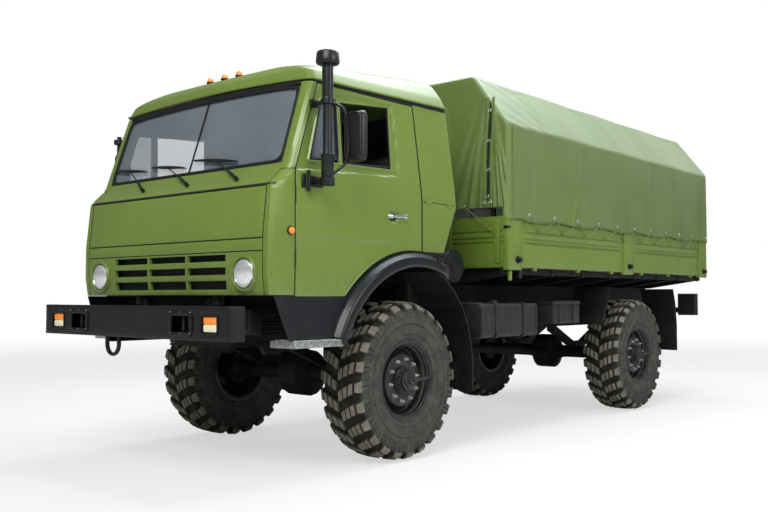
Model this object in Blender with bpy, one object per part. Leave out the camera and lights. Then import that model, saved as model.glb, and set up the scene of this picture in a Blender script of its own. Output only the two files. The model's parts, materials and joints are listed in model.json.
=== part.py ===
# Military cargo truck, four wheels, cab over engine, with a covered load bed.
# Metres, +Z up. The truck faces -Y and its left side is +X. The origin is on the
# ground, on the centre plane, half way between the bumper's face and the tailgate.

import math

import bmesh
import bpy
from mathutils import Matrix, Vector

# Driving sizes
wheelbase = 4.20
front_overhang = 1.80       # bumper's face ahead of the front axle
rear_overhang = 1.95        # tailgate's face behind the rear axle
track = 2.01                # between the tyres' middle planes
seam = 0.0003               # between pieces that touch
running_gap = 0.008         # round doors and lids

front_axle = front_overhang - (front_overhang + wheelbase + rear_overhang) / 2
rear_axle = front_axle + wheelbase
front_face = front_axle - front_overhang
rear_face = rear_axle + rear_overhang

# Tyres and wheels
tyre_radius = 0.63
tyre_width = 0.425
lug_count = 26
lug_depth = 0.035
bead_radius = 0.27
bead_half = 0.17
rim_lip = 0.03
rim_wall = 0.015
hub_radius = 0.10
hub_reach = 0.145           # hub cap's face beyond the wheel's middle plane
spindle_radius = 0.06
spindle_clearance = 0.0015
spindle_reach = 0.07        # spindle's tip beyond the wheel's middle plane
wheel_segments = 20

# Axles
axle_tube_radius = 0.07
kingpin_inset = 0.145       # kingpin inboard of the wheel's middle plane
ball_radius = 0.10
knuckle_wall = 0.034
knuckle_clearance = 0.006
kingpin_stub = 0.0017       # kingpin's end out of the ball
kingpin_radius = 0.012
diff_radius = 0.20
diff_half = 0.17
spring_width = 0.08
spring_height = 0.07
spring_reach = 0.62

# Mudguards, their paths as (along, up) shares of their radius
guard_radius = 0.85
guard_plate = 0.012
guard_arm_half = 0.02
guard_arm_grip = 0.10
front_arm_drop = 0.16       # arms below the rail's top
rear_arm_drop = 0.08
front_guard_path = (
    (0.40, 1.765), (0.565, 1.67), (0.706, 1.553), (0.824, 1.412),
    (0.918, 1.235), (0.976, 1.035), (1.0, 0.847), (1.0, 0.565))
ahead_guard_path = ((-1.11, 1.165), (-0.94, 1.45), (-0.87, 1.64))
behind_guard_path = ((1.094, 1.624), (1.165, 1.435), (1.212, 1.118), (1.212, 0.741))

# Frame
rail_half_spacing = 0.435   # to the rails' outer faces
rail_top = 1.20
rail_depth = 0.25
rail_flange = 0.075
rail_plate = 0.012
crossmember_half = 0.04
crossmember_depth = 0.16
crossmember_shares = (0.386, 0.583, 0.774, 1.179)   # of the wheelbase, behind the front axle

# Bumper
bumper_half = 1.18
bumper_bottom = 0.997
bumper_top = 1.229
bumper_depth = 0.13
bumper_plate = 0.012
bumper_corner = 0.05
bracket_inner = 0.365
bracket_outer = 0.43
step_holes = ((0.53, 0.625), (0.655, 0.76))     # either side of the upright bar, from the centre plane
step_hole_low = 1.05
step_hole_high = 1.185
lamp_pocket_inner = 0.861
lamp_pocket_outer = 1.05
lamp_pocket_low = 1.039
lamp_pocket_high = 1.174
lamp_pocket_depth = 0.010
lamp_margin = 0.01
lamp_backing = 0.05
tow_loop_place = -0.26       # the right side only, as in the photograph
tow_loop_half = 0.16
tow_loop_drop = 0.155
tow_loop_bend = 0.10
tow_loop_bar = 0.032

# Engine and gearbox
engine_half = 0.34
engine_front = -1.10        # from the front axle
engine_back = 0.50
engine_bottom = 0.90
engine_top = 1.70
gearbox_half = 0.24
gearbox_length = 0.95
gearbox_top = 1.12
gearbox_bottom = 0.72
propshaft_radius = 0.045
shaft_lift = 0.08            # shafts above the gearbox's bottom
shaft_sunk = 0.02

# Cab
cab_wall = 0.05
cab_floor = 1.30
cab_half = 1.17
cab_front = -1.44           # from the front axle
cab_back = 0.70
door_belt = 2.19
window_band = 0.67          # from the belt to the roof's drip edge
drip_height = door_belt + window_band
pivot_ahead = -1.34
pivot_height = 1.275
pivot_pin_radius = 0.02
cab_post_half = 0.02
pivot_lug_place = 0.485     # cab's lug from the centre plane
pivot_lug_half = 0.03
tunnel_half = 0.42
tunnel_top = 1.80
tunnel_front = -1.33
tunnel_wall = 0.03
arch_centre_back = 0.10
arch_centre_height = 0.60
arch_radius = 1.05
fender_inset = 0.125        # fender's edge inside the arch
fender_start = 70           # degrees from straight back, upwards
fender_end = 158
fender_steps = 10
fender_foot_place = -0.665
# across from the cab's side, outwards from the fender's edge
fender_section = ((-0.11, 0.095), (-0.11, 0.115), (0.03, 0.118), (0.08, 0.075), (0.08, 0.0), (0.062, 0.0),
                  (0.058, 0.062), (0.02, 0.098))
step_inner = cab_half - 0.19
step_outer = cab_half + 0.065
step_low = 0.93
step_thickness = 0.055
door_front = -1.217
door_back_low = 0.206
door_back_high = 0.11
door_sill = 1.29
door_pillar_top = -0.98
door_top = drip_height - 0.018
door_depth = 0.08           # how far in the doorway is cut
door_hinge_out = 0.0025     # hinge pin's axis outside the skin
door_hinge_back = 0.0025    # and behind the doorway's front edge
door_hinge_radius = 0.0052
door_hinge_heights = (1.50, 1.95)
door_hinge_length = 0.12
glass_thickness = 0.006
windscreen_bottom = door_belt + 0.045
windscreen_top = drip_height - 0.025
windscreen_half_low = cab_half - 0.095
windscreen_half_high = cab_half - 0.105
windscreen_corner = 0.06
glass_depth = 0.015         # windscreen behind the skin
pane_depth = 0.020
firewall_front = -1.36      # from the front axle
firewall_plate = 0.03
firewall_top = 1.69
# windows of a door, from the front axle: front low, back low, back high, front high
main_window = ((-0.73, door_belt + 0.075), (-0.18, door_belt + 0.104),
               (-0.198, drip_height - 0.083), (-0.749, drip_height - 0.115))
quarter_window = ((-1.079, door_belt + 0.084), (-0.773, door_belt + 0.116),
                  (-0.784, drip_height - 0.11), (-0.95, drip_height - 0.143))
handle_front = -0.231
handle_back = -0.006
handle_height = 1.92
handle_out = 0.032
handle_half = 0.012

# Lower front panel, service flap and roof hatch
panel_half = cab_half - 0.085
panel_top = 1.606
headlight_place = cab_half - 0.269
headlight_height = 1.46
# a headlamp from its lens to its back: along, radius
headlight_profile = ((-0.024, 0), (-0.020, 0.05), (-0.006, 0.095), (0.0, 0.097), (-0.012, 0.103),
                     (-0.012, 0.115), (0.01, 0.125), (0.045, 0.125), (0.045, 0))
grille_half = headlight_place - 0.207
grille_bar = 0.24           # upright bars' place
grille_bar_half = 0.012
grille_rows = ((1.34, 1.404), (1.448, 1.501), (1.545, 1.592))
flap_low = 1.70
flap_high = 2.07
flap_half = cab_half - 0.105
flap_thickness = 0.022
flap_swing_gap = 0.012      # above the hinge and behind the flap
flap_hinge_drop = 0.008     # hinge below the flap's top edge
flap_pin_radius = 0.005
hatch_half = 0.30
hatch_front = -0.72
hatch_length = 0.55
hatch_height = 0.035
hatch_seat = 0.0005
marker_places = (-0.182, 0.0, 0.182)
marker_back = -0.90
marker_radius = 0.03
marker_height = 0.034
side_lamp_place = -1.266
side_lamp_height = 1.75
side_lamp_radius = 0.028

# Seats, dashboard and steering wheel
seat_front = -0.52
seat_thickness = 0.12
seat_top = 2.45
seat_length = 0.50
cushion_length = 0.42
cushion_front_top = 1.86
cushion_back_top = 1.82
seat_back_foot = 1.72
seat_inner = 0.50
seat_outer = cab_half - 0.15
dash_front = -1.28
dash_depth = 0.30
dash_top = 2.16
steering_place = 0.76
steering_back = -0.82
steering_height = 2.16
steering_radius = 0.23
steering_rim = 0.015
steering_tilt = -35

# Mast and mirrors
mast_place = cab_half + 0.13
mast_back = -1.03           # from the front axle
mirror_place = cab_half + 0.28
mirror_back = -0.90
mirror_half = 0.085
mirror_depth = 0.03
mirror_low = door_belt + 0.05
mirror_high = door_belt + 0.41
arm_radius = 0.011
# masts from their feet to their tops: above the belt, radius
mast_profile = (
    (-0.12, 0), (-0.12, 0.03), (-0.10, 0.045), (0.10, 0.045), (0.11, 0.034), (0.49, 0.034), (0.50, 0.040),
    (0.74, 0.040), (0.75, 0.085), (0.82, 0.085), (0.84, 0.05), (0.84, 0))
plain_mast_profile = ((-0.12, 0), (-0.12, 0.02), (0.53, 0.02), (0.53, 0))

# Bed
bed_half = 1.25
bed_front = 1.434           # from the front axle
bed_floor_top = 1.61
bed_floor_plate = 0.05
beam_height = 0.16
sill_half = 0.04
board_top = 2.04
board_bottom = 1.56
board_thickness = 0.04
post_width = 0.235
post_bottom = 1.536
post_extra = 0.012
gate_hinge_lift = 0.02      # tailgate's hinge above the boards' bottom
gate_pin_radius = 0.012
gate_swing_gap = 0.016
eave_height = 2.88
ridge_height = 3.38
ridge_half = bed_half - 0.377
canvas_thickness = 0.012
canvas_lower_edge = 2.00
cover_front_edge = 2.12
post_ahead = 0.06           # corner posts' front ahead of the headboard
crossbar_half = 0.60
rear_lamp_inner = bed_half - 0.29
rear_lamp_outer = bed_half - 0.07
bow_bar = 0.03
bow_count = 5

# name, red, green, blue, metallic, roughness
finishes = (
    ("green_paint", 0.18, 0.27, 0.04, 0.0, 0.4),
    ("black_paint", 0.02, 0.022, 0.026, 0.0, 0.45),
    ("rubber", 0.03, 0.03, 0.028, 0.0, 0.85),
    ("canvas", 0.16, 0.24, 0.07, 0.0, 0.8),
    ("glass", 0.14, 0.18, 0.21, 0.0, 0.05),
    ("seat_cloth", 0.05, 0.05, 0.05, 0.0, 0.9),
    ("iron", 0.06, 0.06, 0.06, 0.6, 0.6),
    ("wood", 0.12, 0.17, 0.05, 0.0, 0.7),
)


def clear_scene():
    for old in list(bpy.data.objects):
        bpy.data.objects.remove(old, do_unlink=True)


def finish_materials():
    made = {}
    for name, red, green, blue, metallic, roughness in finishes:
        material = bpy.data.materials.new(name)
        material.use_nodes = True
        shader = material.node_tree.nodes["Principled BSDF"]
        shader.inputs["Base Color"].default_value = (red, green, blue, 1.0)
        shader.inputs["Metallic"].default_value = metallic
        shader.inputs["Roughness"].default_value = roughness
        made[name] = material
    return made


def pivot(name, place, parent=None):
    """An empty on a joint's axis; the pieces of that body are its children."""
    empty = bpy.data.objects.new(name, None)
    empty.location = place
    if parent is not None:
        empty.parent = parent
        empty.matrix_parent_inverse = Matrix.Translation(-parent.location)
    bpy.context.collection.objects.link(empty)
    return empty


def from_faces(points, faces):
    shape = bmesh.new()
    made = [shape.verts.new(point) for point in points]
    for face in faces:
        shape.faces.new([made[i] for i in face])
    bmesh.ops.recalc_face_normals(shape, faces=shape.faces)
    return shape


def loft(rings, closed=False):
    """Skin over rings of equally many points; capped unless it closes on itself."""
    count = len(rings[0])
    points = [point for ring in rings for point in ring]
    spans = len(rings) if closed else len(rings) - 1
    faces = []
    for i in range(spans):
        low = i * count
        high = ((i + 1) % len(rings)) * count
        for j in range(count):
            k = (j + 1) % count
            faces.append((low + j, low + k, high + k, high + j))
    if not closed:
        faces.append(tuple(range(count)))
        faces.append(tuple(range(len(points) - count, len(points))))
    return from_faces(points, faces)


def prism(outline, axis, low, high):
    """Outline in the two other axes, in X, Y, Z order, carried from low to high."""
    order = {"X": lambda a, b, t: (t, a, b), "Y": lambda a, b, t: (a, t, b), "Z": lambda a, b, t: (a, b, t)}
    put = order[axis]
    return loft([[put(a, b, t) for a, b in outline] for t in (low, high)])


def box(low, high):
    (x0, y0, z0), (x1, y1, z1) = low, high
    return prism([(x0, y0), (x1, y0), (x1, y1), (x0, y1)], "Z", z0, z1)


def mirrored_box(side, inner, outer, y0, y1, z0, z1):
    """A box on one side of the centre plane, between two distances from it."""
    x0, x1 = sorted((side * inner, side * outer))
    return box((x0, y0, z0), (x1, y1, z1))


def turned(profile, centre, axis="X", segments=16, side=1):
    """Profile of (along, radius) turned about an axis through centre. Ends at radius 0 close in a point."""
    points = []
    rings = []
    for along, radius in profile:
        if radius == 0:
            rings.append([len(points)])
            angles = [0.0]
        else:
            rings.append(list(range(len(points), len(points) + segments)))
            angles = [math.tau * i / segments for i in range(segments)]
        for angle in angles:
            u = radius * math.cos(angle)
            v = radius * math.sin(angle)
            offset = {"X": (side * along, u, v), "Y": (u, side * along, v), "Z": (u, v, side * along)}[axis]
            points.append(tuple(c + o for c, o in zip(centre, offset)))
    faces = []
    pairs = list(zip(rings, rings[1:]))
    if len(rings[0]) > 1:
        pairs.append((rings[-1], rings[0]))
    for one, two in pairs:
        for j in range(segments):
            k = (j + 1) % segments
            face = [one[j % len(one)], one[k % len(one)], two[k % len(two)], two[j % len(two)]]
            faces.append(tuple(dict.fromkeys(face)))
    return from_faces(points, faces)


def rod(start, end, radius, segments=12):
    """A round bar between two points."""
    start, end = Vector(start), Vector(end)
    along = (end - start).normalized()
    helper = Vector((0, 0, 1)) if abs(along.z) < 0.9 else Vector((1, 0, 0))
    across = along.cross(helper).normalized()
    other = along.cross(across)
    angles = [math.tau * i / segments for i in range(segments)]
    ring = [across * (radius * math.cos(a)) + other * (radius * math.sin(a)) for a in angles]
    return loft([[tuple(place + spoke) for spoke in ring] for place in (start, end)])


def bent_rod(places, radius, segments=8):
    """A round bar along a path of places, mitred at its bends."""
    places = [Vector(place) for place in places]
    rings = []
    for i, place in enumerate(places):
        before = (place - places[i - 1]).normalized() if i else (places[1] - place).normalized()
        after = (places[i + 1] - place).normalized() if i < len(places) - 1 else before
        along = (before + after).normalized()
        across = along.cross(Vector((1, 0.3, 0.2))).normalized()
        other = along.cross(across)
        angles = [math.tau * k / segments for k in range(segments)]
        rings.append([tuple(place + radius * (across * math.cos(a) + other * math.sin(a))) for a in angles])
    return loft(rings)


def shaft(start, end, radius, segments=10):
    """A round shaft on the centre plane between two (y, z) places, its end faces upright."""
    angles = [math.tau * i / segments for i in range(segments)]
    circle = [(radius * math.cos(a), radius * math.sin(a)) for a in angles]
    return loft([[(x, y, z + up) for x, up in circle] for y, z in (start, end)])


def strip(path, thickness):
    """Outline of a bent sheet: a path of (a, b) points and the same path moved square to it."""
    moved = []
    for i, (a, b) in enumerate(path):
        before = path[max(i - 1, 0)]
        after = path[min(i + 1, len(path) - 1)]
        run = Vector((after[0] - before[0], after[1] - before[1])).normalized()
        moved.append((a - run.y * thickness, b + run.x * thickness))
    return path + moved[::-1]


def piece(name, shape, finish=None, parent=None):
    mesh = bpy.data.meshes.new(name)
    shape.to_mesh(mesh)
    shape.free()
    made = bpy.data.objects.new(name, mesh)
    if finish is not None:
        mesh.materials.append(finish)
    bpy.context.collection.objects.link(made)
    if parent is not None:
        made.parent = parent
        made.matrix_parent_inverse = Matrix.Translation(-parent.location)
    return made


def guide(name, shape):
    """A tool for a Boolean, left out of the model."""
    made = piece("guide_" + name, shape)
    made.hide_render = True
    made.display_type = "WIRE"
    return made


def boolean(target, operation, *tools):
    for tool in tools:
        step = target.modifiers.new(operation.lower(), "BOOLEAN")
        step.operation = operation
        step.object = tool
    return target


def rounded_plan(half, front, back, front_radius, back_radius, height_front, height_back):
    """One section of the cab: a rectangle in plan with rounded corners, tilted from front to back."""
    corners = (
        (half, front, front_radius, -90, 4),
        (half, back, back_radius, 0, 2),
        (-half, back, back_radius, 90, 2),
        (-half, front, front_radius, 180, 4),
    )
    ring = []
    for x, y, radius, start, steps in corners:
        centre_x = x - math.copysign(radius, x)
        centre_y = y + radius if y == front else y - radius
        for i in range(steps + 1):
            angle = math.radians(start + 90 * i / steps)
            ring.append((centre_x + radius * math.cos(angle), centre_y + radius * math.sin(angle)))
    slope = (height_back - height_front) / (back - front)
    return [(x, y, height_front + slope * (y - front)) for x, y in ring]


# Cab sections, from the floor up. Front and back are from the front axle.
# height at the front, at the back, half width, front, back, front corner's radius, back corner's radius
cab_sections = (
    (cab_floor, cab_floor, cab_half - 0.005, cab_front + 0.02, cab_back, 0.05, 0.03),
    (cab_floor + 0.15, cab_floor + 0.15, cab_half, cab_front, cab_back, 0.05, 0.03),
    (1.70, 1.70, cab_half, cab_front, cab_back, 0.05, 0.03),
    (2.07, 2.07, cab_half, cab_front + 0.037, cab_back, 0.05, 0.03),
    (2.20, 2.20, cab_half, cab_front + 0.175, cab_back - 0.02, 0.05, 0.03),
    (drip_height, drip_height + 0.03, cab_half - 0.025, cab_front + 0.395, cab_back - 0.12, 0.06, 0.03),
    (drip_height + 0.09, drip_height + 0.13, cab_half - 0.065, cab_front + 0.42, cab_back - 0.125, 0.06, 0.05),
    (drip_height + 0.13, drip_height + 0.245, cab_half - 0.13, cab_front + 0.455, cab_back - 0.14, 0.12, 0.08),
    (drip_height + 0.17, drip_height + 0.315, cab_half - 0.30, cab_front + 0.50, cab_back - 0.20, 0.20, 0.10),
    (drip_height + 0.20, drip_height + 0.355, cab_half - 0.62, cab_front + 0.57, cab_back - 0.32, 0.20, 0.10),
)
roof_rings = 3              # top sections that sink with the skin's inset


def cab_hull(inset):
    """The cab's outer skin moved in by inset."""
    rings = []
    last = len(cab_sections) - 1
    for i, (zf, zb, half, front, back, front_radius, back_radius) in enumerate(cab_sections):
        lift = inset if i == 0 else 0.0
        if i > last - roof_rings:
            lift = -inset
        rings.append(rounded_plan(
            half - inset, front_axle + front + inset, front_axle + back - inset,
            max(front_radius - inset, 0.02), max(back_radius - inset, 0.01), zf + lift, zb + lift))
    return loft(rings)


def arch_points(radius, start, end, steps):
    """Points of the front wheel arch, in the side view, angles in degrees from straight back, upwards."""
    made = []
    for i in range(steps + 1):
        angle = math.radians(start + (end - start) * i / steps)
        made.append((front_axle + arch_centre_back + radius * math.cos(angle),
                     arch_centre_height + radius * math.sin(angle)))
    return made


def cab_side_outline(inset):
    """Side view of the cab below its rear corner: floor, wheel arch and the slanted lower back edge."""
    reach = arch_radius + inset
    start = 180 - math.degrees(math.asin((cab_floor + inset - arch_centre_height) / reach))
    arch = arch_points(reach, start, 84, 8)
    top = 3.6
    ahead = front_axle + cab_front - 0.2
    back = front_axle + cab_back
    return [(ahead, cab_floor + inset)] + arch + [
        (back - 0.19 - inset, arch_centre_height + reach), (back + 0.005 - inset, flap_high),
        (back + 0.2 - inset, flap_high + 0.13), (back + 0.2, top), (ahead, top)]


def door_outline(gap):
    """Side view of the door; gap shrinks it."""
    reach = arch_radius + 0.006 + gap
    low = door_sill + gap
    start = 180 - math.degrees(math.asin((low - arch_centre_height) / reach))
    end = math.degrees(math.acos((door_back_low - gap - arch_centre_back) / reach))
    return [(front_axle + door_front + gap, low)] + arch_points(reach, start, end, 8) + [
        (front_axle + door_back_high - gap, door_top - gap),
        (front_axle + door_pillar_top + gap, door_top - gap),
        (front_axle + door_front + gap, door_belt)]


def window_outline(corners, gap):
    """Side view of a door's window; gap shrinks it."""
    signs = ((1, 1), (-1, 1), (-1, -1), (1, -1))
    return [(front_axle + y + sy * gap, z + sz * gap) for (y, z), (sy, sz) in zip(corners, signs)]


def windscreen_outline(gap):
    """Front view of the windscreen; gap shrinks it."""
    low = windscreen_bottom + gap
    high = windscreen_top - gap
    wide_low = windscreen_half_low - gap
    wide_high = windscreen_half_high - gap
    cut = windscreen_corner
    right = [(wide_low - cut, low), (wide_low, low + cut), (wide_high, high - cut), (wide_high - cut, high)]
    return right + [(-x, z) for x, z in reversed(right)]


def build_frame(paint):
    front = front_face + bumper_depth + seam
    back = rear_face - 0.20
    bottom = rail_top - rail_depth
    rails = []
    for side in (1, -1):
        outer = rail_half_spacing
        inner = outer - rail_flange
        web = outer - rail_plate
        outline = [(outer, bottom), (outer, rail_top), (inner, rail_top), (inner, rail_top - rail_plate),
                   (web, rail_top - rail_plate), (web, bottom + rail_plate), (inner, bottom + rail_plate),
                   (inner, bottom)]
        rails.append([(side * x, z) for x, z in outline])
    frame = piece("chassis_frame", prism(rails[0], "Y", front, back), paint)
    tools = [guide("rail_right", prism(rails[1], "Y", front, back))]
    places = [front + 0.05] + [front_axle + share * wheelbase for share in crossmember_shares] + [back - 0.05]
    middle = rail_top - rail_depth / 2
    for i, place in enumerate(places):
        reach = rail_half_spacing - rail_plate / 2
        tools.append(guide("crossmember_%d" % i, box(
            (-reach, place - crossmember_half, middle - crossmember_depth / 2),
            (reach, place + crossmember_half, middle + crossmember_depth / 2))))
    y = front_axle + pivot_ahead
    tip = pivot_lug_place + pivot_lug_half + 0.01
    root = rail_half_spacing - 0.03
    for side in (1, -1):
        tools.append(guide("cab_post_%d" % side, mirrored_box(
            side, rail_half_spacing - rail_flange + 0.01, rail_half_spacing - 0.005,
            y - cab_post_half, y + cab_post_half, rail_top - 0.01, pivot_height)))
        tools.append(guide("cab_pin_%d" % side, rod(
            (side * root, y, pivot_height), (side * tip, y, pivot_height), pivot_pin_radius)))
    boolean(frame, "UNION", *tools)


def bumper_plan(inset, back):
    """Plan of the bumper with rounded front corners; inset moves it in."""
    half = bumper_half - inset
    front = front_face + inset
    radius = bumper_corner - inset
    right = [(half - radius + radius * math.sin(a), front + radius - radius * math.cos(a))
             for a in (math.radians(22.5 * i) for i in range(5))] + [(half, back)]
    return [(-x, y) for x, y in reversed(right)] + right


def build_bumper(paint):
    """A channel open at the back, with stepping holes, lamp pockets, brackets and the tow loop."""
    back = front_face + bumper_depth
    bumper = piece("front_bumper", prism(bumper_plan(0, back), "Z", bumper_bottom, bumper_top), paint)
    boolean(bumper, "DIFFERENCE", guide("bumper_inside", prism(
        bumper_plan(bumper_plate, back + 0.1), "Z", bumper_bottom + bumper_plate, bumper_top - bumper_plate)))
    bar = tow_loop_bar
    middle = front_face + bumper_depth / 2
    face = front_face + bumper_plate
    for side in (1, -1):
        boolean(bumper, "UNION", guide("bracket_%d" % side, mirrored_box(
            side, bracket_inner, bracket_outer, face - 0.002, back, bumper_bottom + 0.004, bumper_top - 0.004)))
        for i, (inner, outer) in enumerate(step_holes):
            boolean(bumper, "DIFFERENCE", guide("step_hole_%d_%d" % (side, i), mirrored_box(
                side, inner, outer, front_face - 0.1, face + 0.01, step_hole_low, step_hole_high)))
        edge = lamp_margin
        inner, outer, low, high = lamp_pocket_inner, lamp_pocket_outer, lamp_pocket_low, lamp_pocket_high
        boolean(bumper, "UNION", guide("lamp_back_%d" % side, mirrored_box(
            side, inner - edge, outer + edge, face - 0.004, face + lamp_backing, low - edge, high + edge)))
        boolean(bumper, "DIFFERENCE", guide("lamp_pocket_%d" % side, mirrored_box(
            side, inner, outer, front_face - 0.1, front_face + lamp_pocket_depth, low, high)))
        boolean(bumper, "UNION", guide("bumper_lamp_%d" % side, mirrored_box(
            side, inner + edge, outer - edge, front_face + 0.003, face, low + edge, high - edge)))
    path = [(tow_loop_place + tow_loop_half * math.cos(a),
             bumper_bottom - tow_loop_drop + tow_loop_bend + tow_loop_bend * math.sin(a))
            for a in (math.radians(180 + 22.5 * i) for i in range(9))]
    top = bumper_bottom + bumper_plate + 0.01
    outer = [(path[0][0], top)] + path + [(path[-1][0], top)]
    share = 1 - bar / tow_loop_half
    inner = [(tow_loop_place + (x - tow_loop_place) * share, z if z == top else z + bar) for x, z in outer]
    loop = prism(outer + inner[::-1], "Y", middle - bar / 2, middle + bar / 2)
    boolean(bumper, "UNION", guide("tow_loop", loop))


def build_power(iron):
    """The engine's block, and the gearbox with a shaft to each axle."""
    piece("engine", box((-engine_half, front_axle + engine_front, engine_bottom),
                        (engine_half, front_axle + engine_back, engine_top)), iron)
    start = front_axle + engine_back + seam
    gearbox = piece("gearbox", box((-gearbox_half, start, gearbox_bottom),
                                   (gearbox_half, start + gearbox_length, gearbox_top)), iron)
    shaft_height = gearbox_bottom + shaft_lift
    reach = diff_radius + seam
    box_end = start + gearbox_length - shaft_sunk
    rear = shaft((box_end, shaft_height), (rear_axle - reach, tyre_radius), propshaft_radius)
    front = shaft((start + shaft_sunk, shaft_height), (front_axle + reach, tyre_radius), propshaft_radius)
    boolean(gearbox, "UNION", guide("propshaft_rear", rear), guide("propshaft_front", front))


def axle_profile(end_points):
    """Half of an axle's outline, tip first, mirrored to the other side."""
    bulge = [(diff_half, axle_tube_radius + 0.01), (diff_half * 0.6, diff_radius)]
    right = end_points + [(diff_half + 0.10, axle_tube_radius)] + bulge
    return right + [(-x, r) for x, r in reversed(right)]


def add_springs(axle, place, name):
    """Leaf springs under the rails, tied to the axle by a saddle."""
    bottom = rail_top - rail_depth
    middle = rail_half_spacing - spring_width / 2
    low = tyre_radius + axle_tube_radius - 0.01
    for side in (1, -1):
        x0 = side * middle - spring_width / 2
        x1 = side * middle + spring_width / 2
        outline = [(place - spring_reach, bottom - seam), (place - spring_reach, bottom - 0.05),
                   (place - 0.12, low), (place + 0.12, low), (place + spring_reach, bottom - 0.05),
                   (place + spring_reach, bottom - seam), (place + spring_reach - 0.08, bottom - seam),
                   (place + 0.12, low + spring_height), (place - 0.12, low + spring_height),
                   (place - spring_reach + 0.08, bottom - seam)]
        boolean(axle, "UNION", guide("%s_spring_%d" % (name, side), prism(outline, "X", x0, x1)))


def build_axles(iron):
    kingpin = track / 2 - kingpin_inset
    neck = math.sqrt(ball_radius ** 2 - axle_tube_radius ** 2)
    ball = [(kingpin + ball_radius * math.cos(a), ball_radius * math.sin(a))
            for a in (math.radians(15 * i) for i in range(1, 9))]
    front_ends = [(kingpin + ball_radius, 0)] + ball + [(kingpin - neck, axle_tube_radius)]
    front = piece("front_axle", turned(axle_profile(front_ends), (0, front_axle, tyre_radius)), iron)
    add_springs(front, front_axle, "front")
    for side in (1, -1):
        tip = ball_radius + kingpin_stub
        boolean(front, "UNION", guide("kingpin_%d" % side, rod(
            (side * kingpin, front_axle, tyre_radius - tip), (side * kingpin, front_axle, tyre_radius + tip),
            kingpin_radius, 8)))
    tip = track / 2 + spindle_reach
    rear_ends = [(tip, 0), (tip, spindle_radius), (track / 2 - 0.06, spindle_radius),
                 (track / 2 - 0.06, 0.14), (track / 2 - 0.16, 0.14), (track / 2 - 0.16, axle_tube_radius)]
    rear = piece("rear_axle", turned(axle_profile(rear_ends), (0, rear_axle, tyre_radius)), iron)
    add_springs(rear, rear_axle, "rear")


def build_knuckle(name, side, iron, parent):
    """A cup round the axle's ball, open inboard, with the wheel's spindle outboard."""
    kingpin = track / 2 - kingpin_inset
    inner = ball_radius + knuckle_clearance
    outer = inner + knuckle_wall
    cup = [(inner * math.cos(a), inner * math.sin(a)) for a in (math.radians(14 * i) for i in range(8))]
    lip = math.radians(98)
    profile = cup + [(outer * math.cos(lip), outer * math.sin(lip)), (outer * 0.5, outer * 0.98),
                     (outer * 0.72, outer * 0.72), (outer + 0.01, spindle_radius),
                     (kingpin_inset + spindle_reach, spindle_radius), (kingpin_inset + spindle_reach, 0)]
    return piece(name, turned(profile, (side * kingpin, front_axle, tyre_radius), side=side), iron, parent)


def build_wheel(name, side, axle, paint, parent):
    barrel = bead_radius - seam
    lip = bead_radius + rim_lip
    flange = bead_half + seam
    wide = flange + rim_wall
    inside = barrel - rim_wall
    bore = spindle_radius + spindle_clearance
    bore_end = spindle_reach + 0.01
    hub_back = ball_radius + knuckle_clearance + knuckle_wall + 0.018 - kingpin_inset
    profile = [(hub_reach, 0), (hub_reach, hub_radius * 0.6), (0.055, hub_radius), (0.048, 0.15),
               (0.06, inside - 0.004), (wide, inside + 0.008), (wide, lip), (flange, lip), (flange, barrel),
               (-flange, barrel), (-flange, lip), (-wide, lip), (-wide, inside), (0.045, inside - 0.008),
               (0.03, hub_radius + 0.02), (hub_back, hub_radius + 0.02), (hub_back, bore), (bore_end, bore),
               (bore_end, 0)]
    centre = (side * track / 2, axle, tyre_radius)
    return piece(name, turned(profile, centre, segments=wheel_segments, side=side), paint, parent)


def build_tyre(name, side, axle, rubber, parent):
    """Ring of sections: two on each lug's top and one in the groove after it."""
    steps = lug_count * 3
    half = tyre_width / 2
    chevron = math.tau / lug_count * 0.45
    # across, radius on a lug, radius in a groove, how far along the lug lags
    section = (
        (-bead_half, bead_radius, bead_radius, 0.0),
        (-bead_half, bead_radius + rim_lip + 0.005, bead_radius + rim_lip + 0.005, 0.0),
        (-half, tyre_radius - 0.07, tyre_radius - 0.07 - lug_depth / 2, 0.0),
        (-half + 0.03, tyre_radius - 0.008, tyre_radius - 0.008 - lug_depth, 0.0),
        (0.0, tyre_radius, tyre_radius - lug_depth, chevron),
        (half - 0.03, tyre_radius - 0.008, tyre_radius - 0.008 - lug_depth, 0.0),
        (half, tyre_radius - 0.07, tyre_radius - 0.07 - lug_depth / 2, 0.0),
        (bead_half, bead_radius + rim_lip + 0.005, bead_radius + rim_lip + 0.005, 0.0),
        (bead_half, bead_radius, bead_radius, 0.0),
    )
    rings = []
    for i in range(steps):
        ring = []
        for across, on_lug, in_groove, lag in section:
            radius = in_groove if i % 3 == 2 else on_lug
            angle = math.tau * i / steps - math.pi / 2 + lag - chevron
            ring.append((side * (track / 2 + across), axle + radius * math.cos(angle),
                         tyre_radius + radius * math.sin(angle)))
        rings.append(ring)
    return piece(name, loft(rings, closed=True), rubber, parent)


# Boxes and tanks on the frame's sides
# name, side, inner face, outer face, front and back from the front axle, bottom, top
side_boxes = (
    ("fuel_tank_left", 1, 0.70, 1.22, 1.00, 1.95, 0.915, 1.24),
    ("fuel_tank_right", -1, 0.70, 1.22, 1.00, 1.95, 0.915, 1.24),
    ("battery_box", 1, 0.85, 1.20, 2.28, 2.82, 1.02, 1.25),
)
box_edge = 0.03
air_tank_place = 0.78
air_tank_front = 2.28
air_tank_back = 2.86
air_tank_radius = 0.12
air_tank_edge = 0.03
can_place = 0.98
# name, side, radius, inner end, outer end
cans = (("air_cleaner", 1, 0.15, 0.46, 0.95), ("silencer", -1, 0.13, 0.44, 0.95))


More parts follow.
